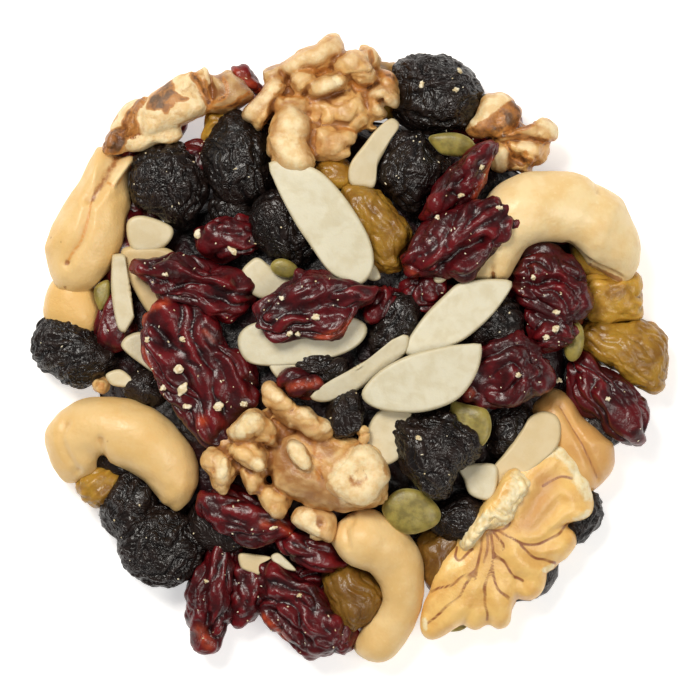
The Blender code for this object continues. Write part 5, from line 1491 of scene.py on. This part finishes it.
def fan_finish():
    material, tree, place = new_finish("glossy_walnut_skin")
    patch = between(tree, lumps(tree, place, 4.0, 4.0, 0.4), 0.36, 0.66)
    colour = tinted(tree, patch, paint(243, 199, 119), paint(226, 174, 95))
    colour = tinted(tree, from_shape(tree, "tan_skin"), colour, paint(200, 140, 82))
    # Painted shade: places deep in the grooves turn amber-brown.
    hollow = hollows(tree, 0.02, 0.3)
    colour = tinted(tree, hollow, colour, paint(170, 106, 50), 0.6)
    # Painted highlight: the crests of the ribs are lightened to a pale gold.
    crest = crests(tree, 0.02, 0.24)
    colour = tinted(tree, crest, colour, paint(246, 214, 152), 0.35)
    fork = ridges(tree, place, 5.0, 2.0, 1.2)
    colour = tinted(tree, between(tree, fork, 0.95, 1.2), colour, paint(176, 108, 52), 0.4)
    # The veins in red-brown, and with them a painted shadow line under the lower edge of the arm.
    vein = between(tree, from_shape(tree, "vein"), 0.62, 0.88)
    fading = ranged(tree, between(tree, lumps(tree, place, 3.0), 0.3, 0.6), 0.4, 0.9)
    colour = tinted(tree, vein, colour, paint(134, 66, 34), fading)
    ragged = sums(tree, "MULTIPLY", sums(tree, "SUBTRACT", lumps(tree, place, 1.2, 5.0), 0.5), 0.9)
    flesh = between(tree, sums(tree, "ADD", from_shape(tree, "cream"), ragged), 0.26, 0.66)
    grain = between(tree, lumps(tree, place, 1.0, 5.0), 0.36, 0.66)
    colour = tinted(tree, flesh, colour, tinted(tree, grain, paint(246, 230, 188), paint(236, 208, 148)))
    fine = relief(tree, lumps(tree, place, 0.8, 4.0, 0.6), 0.1, relief(tree, lumps(tree, place, 0.3), 0.04))
    set_finish(
        tree, colour, 0.34, fine, (0.1, 1.2, (1.0, 0.6, 0.3)), Coat_Weight=0.15, Coat_Roughness=0.3
    )
    return material


def fan_part():
    points, faces, _ = pillow(FAN_OUTLINE, 3.6, 11.9, (-0.14, 0.16), level=6, fullness=2.8, middle=FAN_HUB)
    points = relaxed(points, faces, 3)
    away = outward(points, faces)
    top = soft_step((away[:, 2] + 0.2) * 3)
    wavy = points + 0.25 * drift(points, 2.6, 223)
    vein = nearness(wavy, FAN_VEINS_AND_PAINTED_SHADOW, 0.9)
    groove = soft_step(nearness(wavy, FAN_VEINS_AND_PAINTED_SHADOW + FAN_GROOVES, 2.2))
    cream = strokes(points, FAN_CREAM) * top
    grains = np.abs(noise(points, 1.7, 221)) ** 0.8
    push = (0.4 - 0.6 * groove + 0.3 * noise(points, 6.0, 220) + 0.12 * noise(points, 2.4, 222)) * top
    push += cream * (0.3 + 0.5 * (grains - 0.3))
    points = relaxed(points + away * push[:, None], faces, 2)
    return shaded(
        points, faces, 7, cream=cream, vein=vein * (away[:, 2] > 0), tan_skin=strokes(points, FAN_TAN)
    )


def fan_arm_part():
    """The broken ridge across the hub: golden skin on its outer side, and rough cream flesh on the inner."""
    points, faces, _ = pillow(FAN_ARM_OUTLINE, 7.6, 14.5, (-0.05, 0.12), fullness=2.6, middle=(23.4, -25.6))
    away = outward(points, faces)
    cream = strokes(points, ARM_CREAM)
    grains = np.abs(noise(points, 1.5, 225)) ** 0.8
    push = 0.3 * noise(points, 4.0, 226) + cream * 0.7 * (grains - 0.3)
    return shaded(points + away * push[:, None], faces, 5, cream=cream, vein=0.0, tan_skin=0.0)


def smooth_lobe_part():
    points, faces, way = pillow(SMOOTH_LOBE, 1.2, 11.4, (0.05, 0.12))
    away = outward(points, faces)
    groove = nearness(points, (LOBE_GROOVE,), 1.1) * (way[:, 2] > 0)
    points = points + away * (0.4 * noise(points, 5.0, 230) - 0.5 * soft_step(groove))[:, None]
    return shaded(points, faces, 5, cream=0.0, vein=0.84 * groove, tan_skin=0.55)


make_piece("walnut_fan", [fan_part(), fan_arm_part(), smooth_lobe_part()], fan_finish())


# Crumbs
# Small broken bits of pale nut lie on the fruit and the walnuts: some larger ones, and a fine scatter.
# Each larger one is a place seen from above, its size and its heading, and it drops onto what lies below it.
CRUMBS = (
    ((-24.3, 18.5), (1.9, 1.4), 70), ((-18.9, 16.2), (3.0, 1.4), -55), ((-26.6, 1.7), (1.2, 1.0), 0),
    ((-27.3, -3.0), (2.1, 1.6), 20), ((-26.7, -6.3), (2.8, 1.5), 60), ((-25.9, -9.0), (1.6, 1.1), 0),
    ((-21.0, -9.0), (2.2, 1.5), 40), ((-16.9, -8.6), (1.4, 1.0), 0), ((-29.7, -6.0), (1.3, 1.0), 30),
    ((-32.3, 1.6), (1.2, 0.8), 80), ((-5.4, 5.2), (1.5, 1.2), 10), ((-9.6, 2.6), (1.4, 0.9), 40),
    ((-8.3, 2.5), (1.1, 0.8), 0), ((20.9, 29.0), (1.1, 0.7), 60), ((17.6, 24.6), (1.3, 0.9), 30),
    ((23.7, 22.6), (1.2, 0.8), 0), ((32.9, 6.0), (1.3, 0.9), 0), ((32.8, 3.4), (1.5, 1.1), 40),
    ((31.3, 2.0), (1.3, 0.9), 0), ((33.5, -4.9), (1.2, 0.8), 10), ((26.7, -4.0), (1.2, 0.9), 0),
    ((-12.2, -28.4), (1.5, 0.6), 15), ((11.4, 42.3), (0.8, 1.4), -10), ((16.9, 41.5), (1.1, 0.7), 10),
    ((17.5, 44.6), (1.3, 0.5), -45), ((-29.4, 12.0), (0.9, 0.7), 0), ((-10.8, 8.2), (0.9, 0.7), 0),
    ((13.9, 21.0), (0.9, 0.7), 0), ((-8.1, -39.2), (1.0, 0.7), 30), ((-23.0, -37.0), (0.8, 0.6), 0),
    ((41.2, -7.8), (0.9, 0.7), 0), ((29.2, 11.6), (1.0, 0.8), 0), ((10.9, -14.0), (1.0, 0.8), 0),
)
CRUMB_HEIGHT = 0.7
CRUMB_LIFT = 0.22
CRUMB_SHRINK = 0.86
FINE_CRUMBS_PER_SQUARE_METRE = 60000.0
FINE_CRUMB_SIZE = 0.16


def crumb_finish():
    material, tree, place = new_finish("pale_nut_crumb")
    patch = between(tree, lumps(tree, place, 0.8, 3.0), 0.4, 0.6)
    colour = tinted(tree, patch, paint(236, 226, 198), paint(214, 194, 150))
    set_finish(tree, colour, 0.6, relief(tree, lumps(tree, place, 0.3), 0.06))
    return material


def scatter_tree(finish):
    """Geometry nodes that strew few-sided crumbs over the upward sides of a surface."""
    tree = bpy.data.node_groups.new("fine_crumbs", "GeometryNodeTree")
    face = tree.interface
    face.new_socket("Geometry", in_out="OUTPUT", socket_type="NodeSocketGeometry")
    face.new_socket("Geometry", in_out="INPUT", socket_type="NodeSocketGeometry")
    for name, kind in (("Density", "Float"), ("Size", "Float"), ("Seed", "Int")):
        face.new_socket(name, in_out="INPUT", socket_type="NodeSocket" + kind)
    given = add(tree, "NodeGroupInput").outputs
    facing = add(tree, "GeometryNodeInputNormal").outputs[0]
    upright = add(tree, "ShaderNodeSeparateXYZ", {0: facing}).outputs["Z"]
    level = add(tree, "FunctionNodeCompare", {0: upright, 1: 0.55}, operation="GREATER_THAN").outputs[0]
    spots = add(tree, "GeometryNodeDistributePointsOnFaces", {
        "Mesh": given["Geometry"], "Selection": level, "Density": given["Density"], "Seed": given["Seed"],
    })
    bit = add(tree, "GeometryNodeMeshIcoSphere", {"Radius": given["Size"], "Subdivisions": 1}).outputs["Mesh"]
    size = add(tree, "FunctionNodeRandomValue", data_type="FLOAT_VECTOR")
    size.inputs[0].default_value = (0.5, 0.4, 0.35)
    size.inputs[1].default_value = (2.2, 1.3, 0.9)
    turn = add(tree, "FunctionNodeRandomValue", data_type="FLOAT_VECTOR")
    turn.inputs[1].default_value = (0.5, 0.5, math.tau)
    strewn = add(tree, "GeometryNodeInstanceOnPoints", {
        "Points": spots.outputs["Points"], "Instance": bit,
        "Rotation": turn.outputs[0], "Scale": size.outputs[0],
    }).outputs["Instances"]
    solid = add(tree, "GeometryNodeRealizeInstances", {"Geometry": strewn}).outputs["Geometry"]
    done = add(tree, "GeometryNodeSetMaterial", {"Geometry": solid, "Material": finish}).outputs["Geometry"]
    add(tree, "NodeGroupOutput", {"Geometry": done})
    return tree


def strewn_part(source, tree, density, seed):
    """The fine crumbs on one piece, as points and triangles."""
    under = bpy.data.objects.new("under_crumbs", bpy.data.objects[source].data)
    bpy.context.collection.objects.link(under)
    spread = under.modifiers.new("crumbs", "NODES")
    spread.node_group = tree
    values = {"Density": density, "Size": FINE_CRUMB_SIZE * MM, "Seed": seed}
    for socket in tree.interface.items_tree:
        if socket.name in values:
            spread[socket.identifier] = values[socket.name]
    graph = bpy.context.evaluated_depsgraph_get()
    mesh = bpy.data.meshes.new_from_object(under.evaluated_get(graph))
    bpy.data.objects.remove(under, do_unlink=True)
    points = np.array([vertex.co[:] for vertex in mesh.vertices]) / MM - HEAP_MIDDLE
    faces = np.array([face.vertices[:] for face in mesh.polygons])
    bpy.data.meshes.remove(mesh)
    return {"points": points, "faces": faces}


def top_at(x, y):
    """The height of the highest surface under a place seen from above."""
    graph = bpy.context.evaluated_depsgraph_get()
    start = Vector((x + HEAP_MIDDLE[0], y + HEAP_MIDDLE[1], 100.0)) * MM
    found, place, *_ = bpy.context.scene.ray_cast(graph, start, Vector((0.0, 0.0, -1.0)))
    return place.z / MM if found else 0.0


def drop_crumbs():
    finish = crumb_finish()
    tree = scatter_tree(finish)
    parts = []
    for number, ((x, y), (length, width), heading) in enumerate(CRUMBS):
        way, faces = ball(2)
        local = way * np.array((CRUMB_SHRINK * length, CRUMB_SHRINK * width, CRUMB_HEIGHT)) / 2
        local += way * (0.28 * noise(way, 0.6, 300 + number))[:, None]
        points = np.stack((*turned(local[:, 0], local[:, 1], heading), local[:, 2]), axis=1)
        parts.append({"points": points + np.array((x, y, top_at(x, y) + CRUMB_LIFT)), "faces": faces})
    parts.append(strewn_part("dried_cranberries", tree, FINE_CRUMBS_PER_SQUARE_METRE, 5))
    parts.append(strewn_part("dried_berries", tree, FINE_CRUMBS_PER_SQUARE_METRE / 2, 9))
    make_piece("nut_crumbs", parts, finish)


drop_crumbs()
